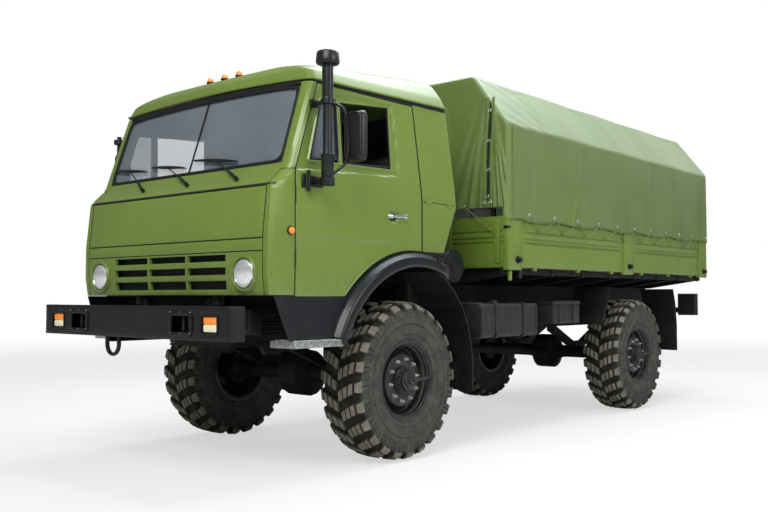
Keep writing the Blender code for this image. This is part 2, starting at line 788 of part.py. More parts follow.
def build_side_boxes(paint):
    for name, side, inner, outer, start, end, bottom, top in side_boxes:
        edge = box_edge
        outline = [(inner, bottom), (outer - edge, bottom), (outer, bottom + edge), (outer, top - edge),
                   (outer - edge, top), (inner + edge, top), (inner, top - edge)]
        outline = [(side * x, z) for x, z in outline]
        made = piece(name, prism(outline, "Y", front_axle + start, front_axle + end), paint)
        for i, share in enumerate((0.22, 0.78)):
            place = front_axle + start + (end - start) * share
            low = (bottom + top) / 2 - 0.05
            reach = (side * (rail_half_spacing + seam), side * (inner + 0.02))
            made = boolean(made, "UNION", guide("%s_arm_%d" % (name, i), box(
                (min(reach), place - 0.03, low), (max(reach), place + 0.03, low + 0.08))))


def build_air_tanks(paint):
    length = air_tank_back - air_tank_front
    start = front_axle + air_tank_front
    radius = air_tank_radius
    edge = air_tank_edge
    height = rail_top - 0.12
    profile = [(0, 0), (0, radius - edge), (edge, radius), (length - edge, radius), (length, radius - edge),
               (length, 0)]
    tank = piece("air_tank", turned(profile, (-air_tank_place, start, height), axis="Y", segments=20), paint)
    for i, place in enumerate((start + 0.14, start + length - 0.14)):
        boolean(tank, "UNION", guide("air_tank_arm_%d" % i, mirrored_box(
            -1, rail_half_spacing + seam, air_tank_place - 0.05, place - 0.025, place + 0.025,
            height - 0.04, height + 0.04)))


def build_cans(paint):
    """Air cleaner behind the cab on the left, exhaust silencer on the right, each on a post from the rail."""
    for name, side, radius, inner, outer in cans:
        place = front_axle + can_place
        height = rail_top + 0.365
        profile = [(inner, 0), (inner, radius), (outer - 0.03, radius), (outer, radius - 0.03), (outer, 0)]
        can = piece(name, turned(profile, (0, place, height), segments=24, side=side), paint)
        post = rail_half_spacing - rail_flange / 2
        boolean(can, "UNION", guide(name + "_post", mirrored_box(
            side, post - 0.03, post + 0.03, place - 0.05, place + 0.05, rail_top + seam, height + radius / 2)))
        boolean(can, "UNION", guide(name + "_arm", mirrored_box(
            side, post, inner + 0.06, place - 0.05, place + 0.05, height - 0.04, height + 0.04)))


def place_at(path, height):
    """Where a sheet's path passes a height."""
    for (y0, z0), (y1, z1) in zip(path, path[1:]):
        if min(z0, z1) <= height <= max(z0, z1):
            return y0 + (y1 - y0) * (height - z0) / (z1 - z0)
    return path[-1][0]


def build_mudguards(paint):
    """Sheets behind the front wheels and round the rear wheels, on arms from the rails."""
    inner = track / 2 - tyre_width / 2
    outer = track / 2 + tyre_width / 2
    start = rail_half_spacing + seam
    half = guard_arm_half

    def sheet(shares, axle):
        return [(axle + y * guard_radius, z * guard_radius) for y, z in shares]

    for name, side in (("left", 1), ("right", -1)):
        reach = sorted((side * inner, side * outer))
        front_path = sheet(front_guard_path, front_axle)
        guard = piece("mudguard_front_" + name, prism(strip(front_path, guard_plate), "X", *reach), paint)
        height = rail_top - front_arm_drop
        place = place_at(front_path, height)
        boolean(guard, "UNION", guide("mudguard_arm_" + name, mirrored_box(
            side, start, inner + guard_arm_grip, place - half, place + half, height - half, height + half)))

        paths = [sheet(ahead_guard_path, rear_axle), sheet(behind_guard_path, rear_axle)]
        guard = piece("mudguard_rear_" + name, prism(strip(paths[0], guard_plate), "X", *reach), paint)
        behind = prism(strip(paths[1], guard_plate), "X", *reach)
        boolean(guard, "UNION", guide("mudguard_behind_" + name, behind))
        height = rail_top - rear_arm_drop
        places = [place_at(path, height) for path in paths]
        boolean(guard, "UNION", guide("mudguard_beam_" + name, mirrored_box(
            side, start, start + 2 * half, places[0] - half, places[1] + half, height - half, height + half)))
        for i, place in enumerate(places):
            boolean(guard, "UNION", guide("mudguard_rear_arm_%s_%d" % (name, i), mirrored_box(
                side, start, inner + guard_arm_grip, place - half, place + half, height - half, height + half)))


def build_rear_bar(paint):
    """Crossbar behind the frame with the lamp boxes on hangers and the tow coupling."""
    start = rear_face - 0.20 + seam
    top = rail_top - 0.02
    beam = box((-crossbar_half, start, top - 0.18), (crossbar_half, start + 0.07, top))
    bar = piece("rear_crossbar", beam, paint)
    tools = []
    for side in (1, -1):
        tools.append(guide("lamp_box_%d" % side, mirrored_box(
            side, rear_lamp_inner, rear_lamp_outer, start - 0.05, start + 0.07, top - 0.13, top + 0.15)))
        tools.append(guide("lamp_arm_%d" % side, mirrored_box(
            side, crossbar_half - 0.05, rear_lamp_inner + 0.02, start, start + 0.05, top - 0.10, top - 0.03)))
    tools.append(guide("tow_block", box((-0.08, start + 0.06, top - 0.16), (0.08, start + 0.16, top - 0.04))))
    boolean(bar, "UNION", *tools)


def build_bed(paint, canvas_cloth, wood, black):
    front = front_axle + bed_front
    gate = board_thickness
    floor_bottom = bed_floor_top - bed_floor_plate
    beam_bottom = floor_bottom - beam_height
    inner = bed_half - board_thickness - post_extra

    sill_end = rear_face - 0.08
    middle = rail_half_spacing - rail_flange / 2
    subframe = piece("bed_subframe", box((middle - sill_half, front + 0.02, rail_top + seam),
                                         (middle + sill_half, sill_end, beam_bottom + 0.01)), black)
    sill = mirrored_box(-1, middle - sill_half, middle + sill_half, front + 0.02, sill_end,
                        rail_top + seam, beam_bottom + 0.01)
    tools = [guide("bed_sill", sill)]
    beams = 7
    first = front + 0.10
    step = (rear_face - 0.12 - first) / (beams - 1)
    for i in range(beams):
        place = first + step * i
        right = [(middle + 0.1, beam_bottom), (inner - 0.02, floor_bottom - 0.06),
                 (inner - 0.02, floor_bottom - seam)]
        outline = [(-x, z) for x, z in reversed(right)] + right
        tools.append(guide("bed_beam_%d" % i, prism(outline, "Y", place - 0.035, place + 0.035)))
    boolean(subframe, "UNION", *tools)

    piece("bed_floor", box((-inner + seam, front + board_thickness + seam, floor_bottom),
                           (inner - seam, rear_face - gate - gate_swing_gap, bed_floor_top)), wood)

    piece("headboard", box((-inner + seam, front, board_bottom + 0.04),
                           (inner - seam, front + board_thickness, board_top - 0.02)), paint)
    for name, side in (("left", 1), ("right", -1)):
        face = bed_half - post_extra
        back = face - board_thickness
        groove = 0.008
        outline = [(back, board_bottom), (face, board_bottom)]
        for place in (0.32, 0.62):
            low = board_bottom + (board_top - board_bottom) * place
            outline += [(face, low), (face - groove, low + 0.01)]
            outline += [(face - groove, low + 0.03), (face, low + 0.04)]
        outline = [(side * x, z) for x, z in outline + [(face, board_top), (back, board_top)]]
        board = piece("side_board_" + name, prism(outline, "Y", front, rear_face), paint)
        for i, start in enumerate((front - post_ahead, front_axle + 3.736, rear_face - post_width)):
            x = sorted((side * bed_half, side * (back + 0.005)))
            top = board_top if i == 1 else board_top - 0.001
            post = box((x[0], start, post_bottom), (x[1], start + post_width, top))
            boolean(board, "UNION", guide("post_%s_%d" % (name, i), post))
        pin = (rear_face - board_thickness / 2, board_bottom + gate_hinge_lift)
        boolean(board, "UNION", guide("gate_pin_" + name, rod(
            (side * (back + 0.01), *pin), (side * (inner - running_gap + 0.0006), *pin), gate_pin_radius, 10)))
    build_cover(paint, canvas_cloth, front - post_ahead)


def cover_outline(inset, bottom):
    """Right half of the cover's section; inset moves it in."""
    side = bed_half + canvas_thickness + seam - inset
    return [(side, bottom), (side, eave_height - inset * 0.7), (ridge_half - inset * 0.4, ridge_height - inset)]


def build_cover(paint, canvas_cloth, front):
    """The canvas as one thin shell open below and at the back, over five bows."""
    half = cover_outline(0, canvas_lower_edge)
    outer = half + [(-x, z) for x, z in reversed(half)]
    half = cover_outline(canvas_thickness, canvas_lower_edge - 0.1)
    inner = half + [(-x, z) for x, z in reversed(half)]
    cover = piece("canvas_cover", prism(outer, "Y", front, rear_face), canvas_cloth)
    inside = prism(inner, "Y", front + canvas_thickness, rear_face + 0.1)
    boolean(cover, "DIFFERENCE", guide("cover_inside", inside))
    wide = bed_half + seam
    boolean(cover, "DIFFERENCE", guide("cover_front", box(
        (-wide, front - 0.1, canvas_lower_edge - 0.1), (wide, front + 0.1, cover_front_edge))))

    clear = canvas_thickness + 0.004
    start = front + canvas_thickness + 0.02
    end = rear_face - 0.03
    foot = board_top + seam
    half = cover_outline(clear, foot)
    half[0] = (half[0][0], foot)
    ring = half + [(-x, z) for x, z in reversed(half)]
    half = cover_outline(clear + bow_bar, foot)
    back = half + [(-x, z) for x, z in reversed(half)]
    hoop = ring + back[::-1]
    tools = []
    frame = piece("cover_bows", prism(hoop, "Y", start, start + bow_bar), paint)
    for i in range(1, bow_count):
        place = start + (end - bow_bar - start) * i / (bow_count - 1)
        tools.append(guide("bow_%d" % i, prism(hoop, "Y", place, place + bow_bar)))
    laths = ((ridge_half - 0.06, ridge_height - clear - bow_bar * 0.5),
             (bed_half - clear - bow_bar * 0.4, eave_height - 0.35))
    for side in (1, -1):
        for j, (centre, height) in enumerate(laths):
            lath = mirrored_box(side, centre - 0.012, centre + 0.012, start + 0.005, end - 0.005,
                                height - 0.012, height + 0.012)
            tools.append(guide("lath_%d_%d" % (side, j), lath))
    boolean(frame, "UNION", *tools)


def build_tailgate(paint, parent):
    inner = bed_half - board_thickness - post_extra - running_gap
    piece("tailgate", box((-inner, rear_face - board_thickness, board_bottom),
                          (inner, rear_face, board_top - 0.01)), paint, parent)


def build_cab(paint, cab):
    """The shell, then the panels cut from the same hull, so that they meet."""
    side_low = cab_side_outline(0)
    side_in = cab_side_outline(cab_wall)
    reach = cab_half + 0.2
    ahead = front_axle + cab_front - 0.3
    behind = front_axle + cab_back + 0.3
    drip = [(ahead, drip_height - 0.006), (behind, drip_height + 0.036), (behind, 3.7), (ahead, 3.7)]

    def hollow(suffix):
        """Inside of the cab with the engine tunnel left standing."""
        inside = guide("inside" + suffix, cab_hull(cab_wall))
        boolean(inside, "INTERSECT", guide("inside_side" + suffix, prism(side_in, "X", -reach, reach)))
        tunnel = box((-tunnel_half - tunnel_wall, front_axle + tunnel_front - tunnel_wall, cab_floor - 0.2),
                     (tunnel_half + tunnel_wall, front_axle + cab_back + 0.1, tunnel_top + tunnel_wall))
        boolean(inside, "DIFFERENCE", guide("tunnel_wall" + suffix, tunnel))
        return inside

    def skin(name, finish, parent, keep):
        """Part of the cab's wall inside the guide called keep."""
        made = piece(name, cab_hull(0), finish, parent)
        boolean(made, "DIFFERENCE", guide(name + "_inside", cab_hull(cab_wall)))
        boolean(made, "INTERSECT", keep)
        return made

    shell = piece("cab_shell", cab_hull(0), paint, cab)
    boolean(shell, "INTERSECT", guide("cab_side", prism(side_low, "X", -reach, reach)))
    boolean(shell, "DIFFERENCE", hollow(""))
    tunnel_void = box((-tunnel_half, front_axle + tunnel_front, cab_floor - 0.3),
                      (tunnel_half, front_axle + cab_back + 0.2, tunnel_top))
    boolean(shell, "DIFFERENCE", guide("tunnel", tunnel_void))
    boolean(shell, "DIFFERENCE", guide("roof_part", prism(drip, "X", -reach, reach)))
    boolean(shell, "DIFFERENCE", guide("windscreen_hole", prism(
        windscreen_outline(0), "Y", front_axle + cab_front - 0.1, front_axle + cab_front + 0.8)))
    lower = box((-panel_half, front_axle + cab_front - 0.2, cab_floor - 0.05),
                (panel_half, front_axle + cab_front + cab_wall + 0.02, panel_top))
    boolean(shell, "DIFFERENCE", guide("lower_panel_place", lower))
    wide = cab_half - cab_wall / 2
    back = front_axle + firewall_front + firewall_plate
    face = front_axle + firewall_front
    firewall = box((-wide, face, cab_floor + cab_wall / 2), (wide, back, firewall_top))
    boolean(shell, "UNION", guide("firewall", firewall))
    ahead = front_axle + cab_front + cab_wall - 0.01
    boolean(shell, "UNION", guide("firewall_shelf", box(
        (-wide, ahead, firewall_top - firewall_plate), (wide, back, firewall_top))))

    y = front_axle + pivot_ahead
    for name, side in (("left", 1), ("right", -1)):
        wide = sorted((side * (cab_half - door_depth), side * reach))
        boolean(shell, "DIFFERENCE", guide("door_hole_" + name, prism(door_outline(0), "X", *wide)))
        x = sorted((side * (pivot_lug_place - pivot_lug_half), side * (pivot_lug_place + pivot_lug_half)))
        boolean(shell, "UNION", guide("lug_" + name, box((x[0], y - 0.025, pivot_height - 0.04),
                                                         (x[1], y + 0.035, cab_floor + 0.02))))
        ends = (side * (pivot_lug_place - 0.1), side * (pivot_lug_place + 0.1))
        boolean(shell, "DIFFERENCE", guide("lug_bore_" + name, rod(
            (ends[0], y, pivot_height), (ends[1], y, pivot_height), pivot_pin_radius + 0.0008, 16)))
        for i, low in enumerate(door_hinge_heights):
            hinge = (side * (cab_half + door_hinge_out), front_axle + door_front + door_hinge_back)
            boolean(shell, "UNION", guide("door_hinge_%s_%d" % (name, i), rod(
                (*hinge, low), (*hinge, low + door_hinge_length), door_hinge_radius, 10)))
        lamp = [(-0.02, 0), (-0.02, side_lamp_radius), (0.012, side_lamp_radius),
                (0.02, side_lamp_radius * 0.6), (0.02, 0)]
        boolean(shell, "UNION", guide("side_lamp_" + name, turned(
            lamp, (side * cab_half, front_axle + side_lamp_place, side_lamp_height), side=side)))
    return shell, drip, reach, skin


def build_cab_panels(shell, drip, reach, skin, paint, black, glass, cab, flap_pivot, hatch_pivot):
    # roof
    lifted = [(y, z + seam if z < 3.5 else z) for y, z in drip]
    roof = skin("cab_roof", paint, cab, guide("roof_keep", prism(lifted, "X", -reach, reach)))
    dome = [(-0.02, 0), (-0.02, marker_radius), (marker_height * 0.5, marker_radius),
            (marker_height * 0.85, marker_radius * 0.7), (marker_height, 0)]
    for i, place in enumerate(marker_places):
        foot = roof_height(marker_back) - 0.004
        boolean(roof, "UNION", guide("marker_%d" % i, turned(
            dome, (place, front_axle + marker_back, foot), axis="Z", segments=12)))

    # lower front panel with the headlamps and the grille's slots
    lower = box((-panel_half + seam, front_axle + cab_front - 0.2, cab_floor - 0.04),
                (panel_half - seam, front_axle + cab_front + cab_wall + 0.019, panel_top - seam))
    panel = skin("lower_front_panel", paint, cab, guide("lower_panel_keep", lower))
    for side in (1, -1):
        lamp = turned(headlight_profile, (side * headlight_place, front_axle + cab_front, headlight_height),
                      axis="Y", segments=24)
        boolean(panel, "UNION", guide("headlight_%d" % side, lamp))
    inner = grille_bar - grille_bar_half
    outer = grille_bar + grille_bar_half
    columns = ((-grille_half, -outer), (-inner, inner), (outer, grille_half))
    for i, (low, high) in enumerate(grille_rows):
        for j, (left, right) in enumerate(columns):
            boolean(panel, "DIFFERENCE", guide("slot_%d_%d" % (i, j), box(
                (left, front_axle + cab_front - 0.1, low), (right, front_axle + cab_front + 0.1, high))))

    # windscreen
    made = piece("windscreen", cab_hull(glass_depth), glass, cab)
    boolean(made, "DIFFERENCE", guide("windscreen_back", cab_hull(glass_depth + glass_thickness)))
    boolean(made, "INTERSECT", guide("windscreen_keep", prism(
        windscreen_outline(seam), "Y", front_axle + cab_front - 0.1, front_axle + cab_front + 0.7)))

    # service flap in a pocket of the front wall
    wall_in = cab_wall + 0.06
    pocket = guide("flap_pocket", box((-flap_half, front_axle + cab_front - 0.2, flap_low),
                                      (flap_half, front_axle + cab_front + wall_in, flap_high)))
    boolean(pocket, "DIFFERENCE", guide("flap_bottom", cab_hull(flap_thickness + flap_swing_gap)))
    boolean(shell, "DIFFERENCE", pocket)
    gap = running_gap
    hinge_y, hinge_z = flap_hinge()
    for side in (1, -1):
        ends = (side * (flap_half + 0.01), side * (flap_half - gap + 0.0006))
        boolean(shell, "UNION", guide("flap_pin_%d" % side, rod(
            (ends[0], hinge_y, hinge_z), (ends[1], hinge_y, hinge_z), flap_pin_radius, 8)))
    flap = piece("service_flap", cab_hull(0), paint, flap_pivot)
    boolean(flap, "DIFFERENCE", guide("flap_inside", cab_hull(flap_thickness)))
    boolean(flap, "INTERSECT", guide("flap_keep", box(
        (-flap_half + gap, front_axle + cab_front - 0.2, flap_low + gap),
        (flap_half - gap, front_axle + cab_front + wall_in, flap_high - flap_swing_gap))))

    # roof hatch over an opening
    y0 = front_axle + hatch_front
    rim = 0.04
    hole = box((-hatch_half + rim, y0 + rim, drip_height + rim),
               (hatch_half - rim, y0 + hatch_length - rim, ridge_height + 0.22))
    boolean(roof, "DIFFERENCE", guide("hatch_hole", hole))
    low = roof_height(hatch_front) + hatch_seat
    high = roof_height(hatch_front + hatch_length) + hatch_seat
    side_view = [(y0, low), (y0 + hatch_length, high), (y0 + hatch_length, high + hatch_height),
                 (y0 + 0.02, low + hatch_height), (y0, low + hatch_height - 0.015)]
    piece("roof_hatch", prism(side_view, "X", -hatch_half, hatch_half), black, hatch_pivot)


def flap_hinge():
    """The service flap's axis in the middle of its thickness, just below its top edge."""
    z = flap_high - flap_swing_gap - flap_hinge_drop
    low, high = cab_sections[2], cab_sections[3]
    lean = (z - low[0]) / (high[0] - low[0])
    return front_axle + low[3] + (high[3] - low[3]) * lean + flap_thickness / 2, z


def roof_height(place):
    """Height of the roof's flat top at a place from the front axle."""
    zf, zb, half, front, back = cab_sections[-1][:5]
    return zf + (zb - zf) * (place - front) / (back - front)


def build_door(name, side, paint, glass, parent):
    """The door with its two window holes, its handle and the fixed pane; the main window is lowered."""
    wide = sorted((side * (cab_half - door_depth), side * (cab_half + 0.2)))
    door = piece("door_" + name, cab_hull(0), paint, parent)
    boolean(door, "DIFFERENCE", guide("door_inside_" + name, cab_hull(cab_wall)))
    boolean(door, "INTERSECT", guide("door_keep_" + name, prism(door_outline(running_gap), "X", *wide)))
    for kind, corners in (("main", main_window), ("quarter", quarter_window)):
        boolean(door, "DIFFERENCE", guide("%s_window_%s" % (kind, name), prism(
            window_outline(corners, 0), "X", *wide)))
    boolean(door, "DIFFERENCE", guide("door_floor_" + name, mirrored_box(
        side, cab_half - 0.2, cab_half - cab_wall, front_axle + cab_front, front_axle + cab_back,
        cab_floor - 0.1, cab_floor + cab_wall + 0.02)))
    y0 = front_axle + handle_front
    y1 = front_axle + handle_back
    inside = cab_half - 0.01
    out = cab_half + handle_out
    outline = [(inside, y0), (out, y0 + 0.02), (out, y1 - 0.04), (inside, y1)]
    boolean(door, "UNION", guide("handle_" + name, prism(
        [(side * x, y) for x, y in outline], "Z", handle_height - handle_half, handle_height + handle_half)))
    pane = piece("door_glass_" + name, cab_hull(pane_depth), glass, parent)
    boolean(pane, "DIFFERENCE", guide("pane_back_" + name, cab_hull(pane_depth + glass_thickness)))
    keep = prism(window_outline(quarter_window, seam), "X", *wide)
    boolean(pane, "INTERSECT", guide("pane_keep_" + name, keep))


def build_mirror(name, side, black, parent):
    """The left side has the tall mast with its cap; both sides have a mirror on a bent arm."""
    mast_x = side * mast_place
    mast_y = front_axle + mast_back
    belt = door_belt
    bracket = mirrored_box(side, cab_half + seam, mast_place, mast_y - 0.03, mast_y + 0.03,
                           belt - 0.09, belt - 0.04)
    made = piece("mirror_" + name, bracket, black, parent)
    profile = mast_profile if side == 1 else plain_mast_profile
    profile = [(belt + along, radius) for along, radius in profile]
    tools = [guide("mast_" + name, turned(profile, (mast_x, mast_y, 0), axis="Z", segments=16))]
    tools.append(guide("mast_clamp_" + name, mirrored_box(
        side, cab_half - 0.012, mast_place, mast_y - 0.012, mast_y + 0.024, belt + 0.47, belt + 0.51)))
    head = side * mirror_place
    y = front_axle + mirror_back
    tools.append(guide("mirror_head_" + name, mirrored_box(
        side, mirror_place - mirror_half, mirror_place + mirror_half, y - mirror_depth, y + mirror_depth,
        mirror_low, mirror_high)))
    bend = y - mirror_depth
    back = head - side * 0.01
    places = ((mast_x, mast_y, belt - 0.06), (head - side * 0.03, bend - 0.03, mirror_low - 0.06),
              (back, bend, mirror_low + 0.06), (back, bend, mirror_high - 0.06),
              (head - side * 0.04, bend - 0.03, mirror_high + 0.05), (mast_x, mast_y, belt + 0.47))
    tools.append(guide("mirror_arm_" + name, bent_rod(places, arm_radius)))
    boolean(made, "UNION", *tools)


def build_fender(name, side, black, parent):
    """Flared front part over the wheel with the step well ahead of it, both on the cab."""
    section = [(cab_half + x, out) for x, out in fender_section]
    inner = arch_radius - fender_inset
    rings = []
    for i in range(fender_steps + 1):
        angle = math.radians(fender_start + (fender_end - fender_start) * i / fender_steps)
        rings.append([(side * x, front_axle + arch_centre_back + (inner + out) * math.cos(angle),
                       arch_centre_height + (inner + out) * math.sin(angle)) for x, out in section])
    rings.append([(side * x, front_axle + fender_foot_place - out, step_low) for x, out in section])
    fender = piece("fender_" + name, loft(rings), black, parent)
    roof = cab_floor - seam
    low = step_low
    top = step_low + step_thickness
    well = [(-1.41, roof), (-1.29, low), (-0.76, low), (-0.76, top), (-1.26, top), (-1.345, roof - 0.055),
            (-1.345, roof)]
    x = sorted((side * step_inner, side * step_outer))
    tools = [guide("step_" + name, prism([(front_axle + y, z) for y, z in well], "X", *x))]
    x = sorted((side * step_inner, side * (step_inner + 0.02)))
    back = [(-1.41, roof), (-1.29, low), (-0.76, low), (-0.76, low + 0.22),
            (-0.80, low + 0.29), (-0.80, roof)]
    tools.append(guide("step_back_" + name, prism([(front_axle + y, z) for y, z in back], "X", *x)))
    boolean(fender, "UNION", *tools)


def build_interior(cloth, black, cab):
    base = front_axle + seat_front
    back = base + seat_length
    under = arch_points(arch_radius + cab_wall + 0.003, 90, 124, 4)
    for name, side in (("seat_driver", 1), ("seat_passenger", -1)):
        outline = under[::-1] + [
            (back + seat_thickness, seat_back_foot), (back + seat_thickness, seat_top), (back, seat_top),
            (base + cushion_length, cushion_back_top), (base, cushion_front_top)]
        piece(name, prism(outline, "X", *sorted((side * seat_inner, side * seat_outer))), cloth, cab)
    start = front_axle + dash_front
    foot = tunnel_top + tunnel_wall + seam
    outline = [(start, foot), (start, dash_top - 0.11), (start + 0.11, dash_top), (start + 0.20, dash_top),
               (start + dash_depth, dash_top - 0.08), (start + dash_depth - 0.04, foot)]
    half = cab_half - cab_wall - 0.01
    dash = piece("dashboard", prism(outline, "X", -half, half), black, cab)
    centre = Vector((steering_place, front_axle + steering_back, steering_height))
    tilt = Matrix.Rotation(math.radians(steering_tilt), 3, "X")
    rings = []
    for i in range(20):
        a = math.tau * i / 20
        ring = []
        for j in range(6):
            b = math.tau * j / 6
            radius = steering_radius + steering_rim * math.cos(b)
            ring.append(tuple(centre + tilt @ Vector((radius * math.cos(a), radius * math.sin(a),
                                                      steering_rim * math.sin(b)))))
        rings.append(ring)
    rim = guide("steering_rim", loft(rings, closed=True))
    reach = Vector((steering_radius, 0, 0))
    spoke = rod(centre - tilt @ reach, centre + tilt @ reach, steering_rim * 0.8, 8)
    column = rod(centre + tilt @ Vector((0, 0, 0.01)), centre + tilt @ Vector((0, 0, -0.36)), 0.025, 8)
    boolean(dash, "UNION", guide("wheel_column", column), guide("wheel_spoke", spoke), rim)


def build():
    clear_scene()
    made = finish_materials()
    green, black, rubber, cloth_cover, glass, seat_cloth, iron, wood = (made[row[0]] for row in finishes)

    build_frame(black)
    build_bumper(black)
    build_power(iron)
    build_axles(iron)
    build_side_boxes(black)
    build_air_tanks(black)
    build_cans(black)
    build_mudguards(black)
    build_rear_bar(black)
    build_bed(green, cloth_cover, wood, black)
    gate_pivot = pivot("tailgate_pivot", (0, rear_face - board_thickness / 2, board_bottom + gate_hinge_lift))
    build_tailgate(green, gate_pivot)

    cab = pivot("cab_pivot", (0, front_axle + pivot_ahead, pivot_height))
    flap_pivot = pivot("flap_pivot", (0, *flap_hinge()), cab)
    hatch_back = hatch_front + hatch_length
    hatch_hinge = (0, front_axle + hatch_back, roof_height(hatch_back) + hatch_seat)
    hatch_pivot = pivot("hatch_pivot", hatch_hinge, cab)
    shell, drip, reach, skin = build_cab(green, cab)
    build_cab_panels(shell, drip, reach, skin, green, black, glass, cab, flap_pivot, hatch_pivot)
    build_interior(seat_cloth, black, cab)

    for name, side in (("left", 1), ("right", -1)):
        hinge = pivot("door_pivot_" + name, (side * (cab_half + door_hinge_out),
                                             front_axle + door_front + door_hinge_back, door_belt), cab)
        build_door(name, side, green, glass, hinge)
        build_mirror(name, side, black, hinge)
        build_fender(name, side, black, cab)
        kingpin = pivot("kingpin_" + name, (side * (track / 2 - kingpin_inset), front_axle, tyre_radius))
        build_knuckle("knuckle_" + name, side, iron, kingpin)
        for end, axle, carrier in (("front", front_axle, kingpin), ("rear", rear_axle, None)):
            hub = pivot("hub_%s_%s" % (end, name), (side * track / 2, axle, tyre_radius), carrier)
            build_wheel("wheel_%s_%s" % (end, name), side, axle, black, hub)
            build_tyre("tyre_%s_%s" % (end, name), side, axle, rubber, hub)


build()
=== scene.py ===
import json
import math
import bmesh
import bpy
import numpy as np
from mathutils import Euler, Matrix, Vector


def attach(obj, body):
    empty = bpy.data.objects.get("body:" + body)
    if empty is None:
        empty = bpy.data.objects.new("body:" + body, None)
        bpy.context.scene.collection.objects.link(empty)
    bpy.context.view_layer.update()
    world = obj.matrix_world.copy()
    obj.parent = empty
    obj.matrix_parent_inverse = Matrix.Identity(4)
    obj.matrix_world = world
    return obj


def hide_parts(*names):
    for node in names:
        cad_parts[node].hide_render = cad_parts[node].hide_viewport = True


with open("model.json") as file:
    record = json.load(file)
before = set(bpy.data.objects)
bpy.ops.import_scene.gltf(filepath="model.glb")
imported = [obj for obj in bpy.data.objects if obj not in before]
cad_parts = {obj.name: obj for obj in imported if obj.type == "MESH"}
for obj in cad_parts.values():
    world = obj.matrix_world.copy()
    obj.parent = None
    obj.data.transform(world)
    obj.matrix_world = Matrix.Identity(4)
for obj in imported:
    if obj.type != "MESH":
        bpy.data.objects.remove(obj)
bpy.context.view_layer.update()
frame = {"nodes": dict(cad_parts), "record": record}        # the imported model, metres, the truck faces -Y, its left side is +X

tau = math.tau
sideways, forwards, screenUp = (1.0, 0.0, 0.0), (0.0, -1.0, 0.0), (0.0, -0.95, 0.31)  # what carried() takes as up

# a form is points, faces and each point's own place before it was moved


class Form:
    def __init__(self, points, faces, place=None):
        self.points = np.asarray(points, float)
        self.faces = faces
        self.place = self.points if place is None else place

    def __add__(self, other):
        shift = len(self.points)
        faces = self.faces + [[i + shift for i in face] for face in other.faces]
        return Form(np.vstack([self.points, other.points]), faces, np.vstack([self.place, other.place]))

    def moved(self, x=0.0, y=0.0, z=0.0):
        return Form(self.points + np.array([x, y, z]), self.faces, self.place)

    def turned(self, axis, degrees):
        c, s = math.cos(math.radians(degrees)), math.sin(math.radians(degrees))
        turn = {"X": [[1, 0, 0], [0, c, -s], [0, s, c]], "Y": [[c, 0, s], [0, 1, 0], [-s, 0, c]],
                "Z": [[c, -s, 0], [s, c, 0], [0, 0, 1]]}[axis]
        return Form(self.points @ np.array(turn).T, self.faces, self.place)

    def mirrored(self):  # x becomes -x
        return Form(self.points * np.array([-1.0, 1.0, 1.0]), self.faces, self.place)


def joined(forms):
    forms = list(forms)
    sizes = np.cumsum([0] + [len(form.points) for form in forms])
    faces = [[i + int(shift) for i in face] for form, shift in zip(forms, sizes) for face in form.faces]
    return Form(np.vstack([form.points for form in forms]), faces, np.vstack([form.place for form in forms]))


def both(form):  # the form and its mirror image
    return joined([form, form.mirrored()])


def skin(points, wrapU=False, wrapV=False, capU=False):
    # points[i, j] lie on a grid of u and v; each four neighbours make a face; capU closes the first and last row
    rows, cols = points.shape[:2]
    index = np.arange(rows * cols).reshape(rows, cols)
    if wrapU:
        index = np.vstack([index, index[:1]])
    if wrapV:
        index = np.hstack([index, index[:, :1]])
    quads = np.stack([index[:-1, :-1], index[1:, :-1], index[1:, 1:], index[:-1, 1:]], axis=-1).reshape(-1, 4)
    faces = quads.tolist()
    if capU:
        faces += [index[0, :cols].tolist(), index[-1, :cols][::-1].tolist()]
    return Form(points.reshape(-1, 3), faces)


def skins(points, **how):  # points[k, i, j]: one skin for each k
    first = skin(points[0], **how)
    size = points.shape[1] * points.shape[2]
    faces = [[i + k * size for i in face] for k in range(len(points)) for face in first.faces]
    return Form(points.reshape(-1, 3), faces)


def lathe(profile, segments=48, axis="X"):
    # (along, radius) rows turned about the axis; a profile that ends where it began makes a ring, others get caps
    profile = np.array(profile, float)
    closed = np.allclose(profile[0], profile[-1])
    if closed:
        profile = profile[:-1]
    angle = np.arange(segments) * tau / segments
    along = np.repeat(profile[:, :1], segments, axis=1)
    across = profile[:, 1:] * np.cos(angle)
    up = profile[:, 1:] * np.sin(angle)
    order = {"X": (along, across, up), "Y": (up, along, across), "Z": (across, up, along)}[axis]
    return skin(np.stack(order, axis=-1), wrapU=closed, wrapV=True, capU=not closed)


def carried(outline, path, closed=False, up=(0.0, 0.0, 1.0), scale=1.0):
    # an outline of (side, up) points carried along a path, kept square to it; scale may change along the path
    path = np.array(path, float)
    outline = np.array(outline, float)
    if closed:
        ahead = np.roll(path, -1, axis=0) - np.roll(path, 1, axis=0)
    else:
        ahead = np.gradient(path, axis=0)
    ahead /= np.linalg.norm(ahead, axis=1, keepdims=True)
    side = np.cross(ahead, np.array(up, float))
    side /= np.maximum(np.linalg.norm(side, axis=1, keepdims=True), 1e-9)
    above = np.cross(side, ahead)
    size = np.broadcast_to(np.asarray(scale, float), (len(path),))[:, None, None]
    ring = side[:, None, :] * outline[None, :, :1] + above[:, None, :] * outline[None, :, 1:]
    return skin(path[:, None, :] + ring * size, wrapU=closed, wrapV=True, capU=not closed)


def tube(path, radius, sides=10, closed=False, up=(0.0, 0.0, 1.0), scale=1.0):
    angle = np.arange(sides) * tau / sides
    return carried(np.stack([radius * np.cos(angle), radius * np.sin(angle)], axis=1), path, closed, up, scale)


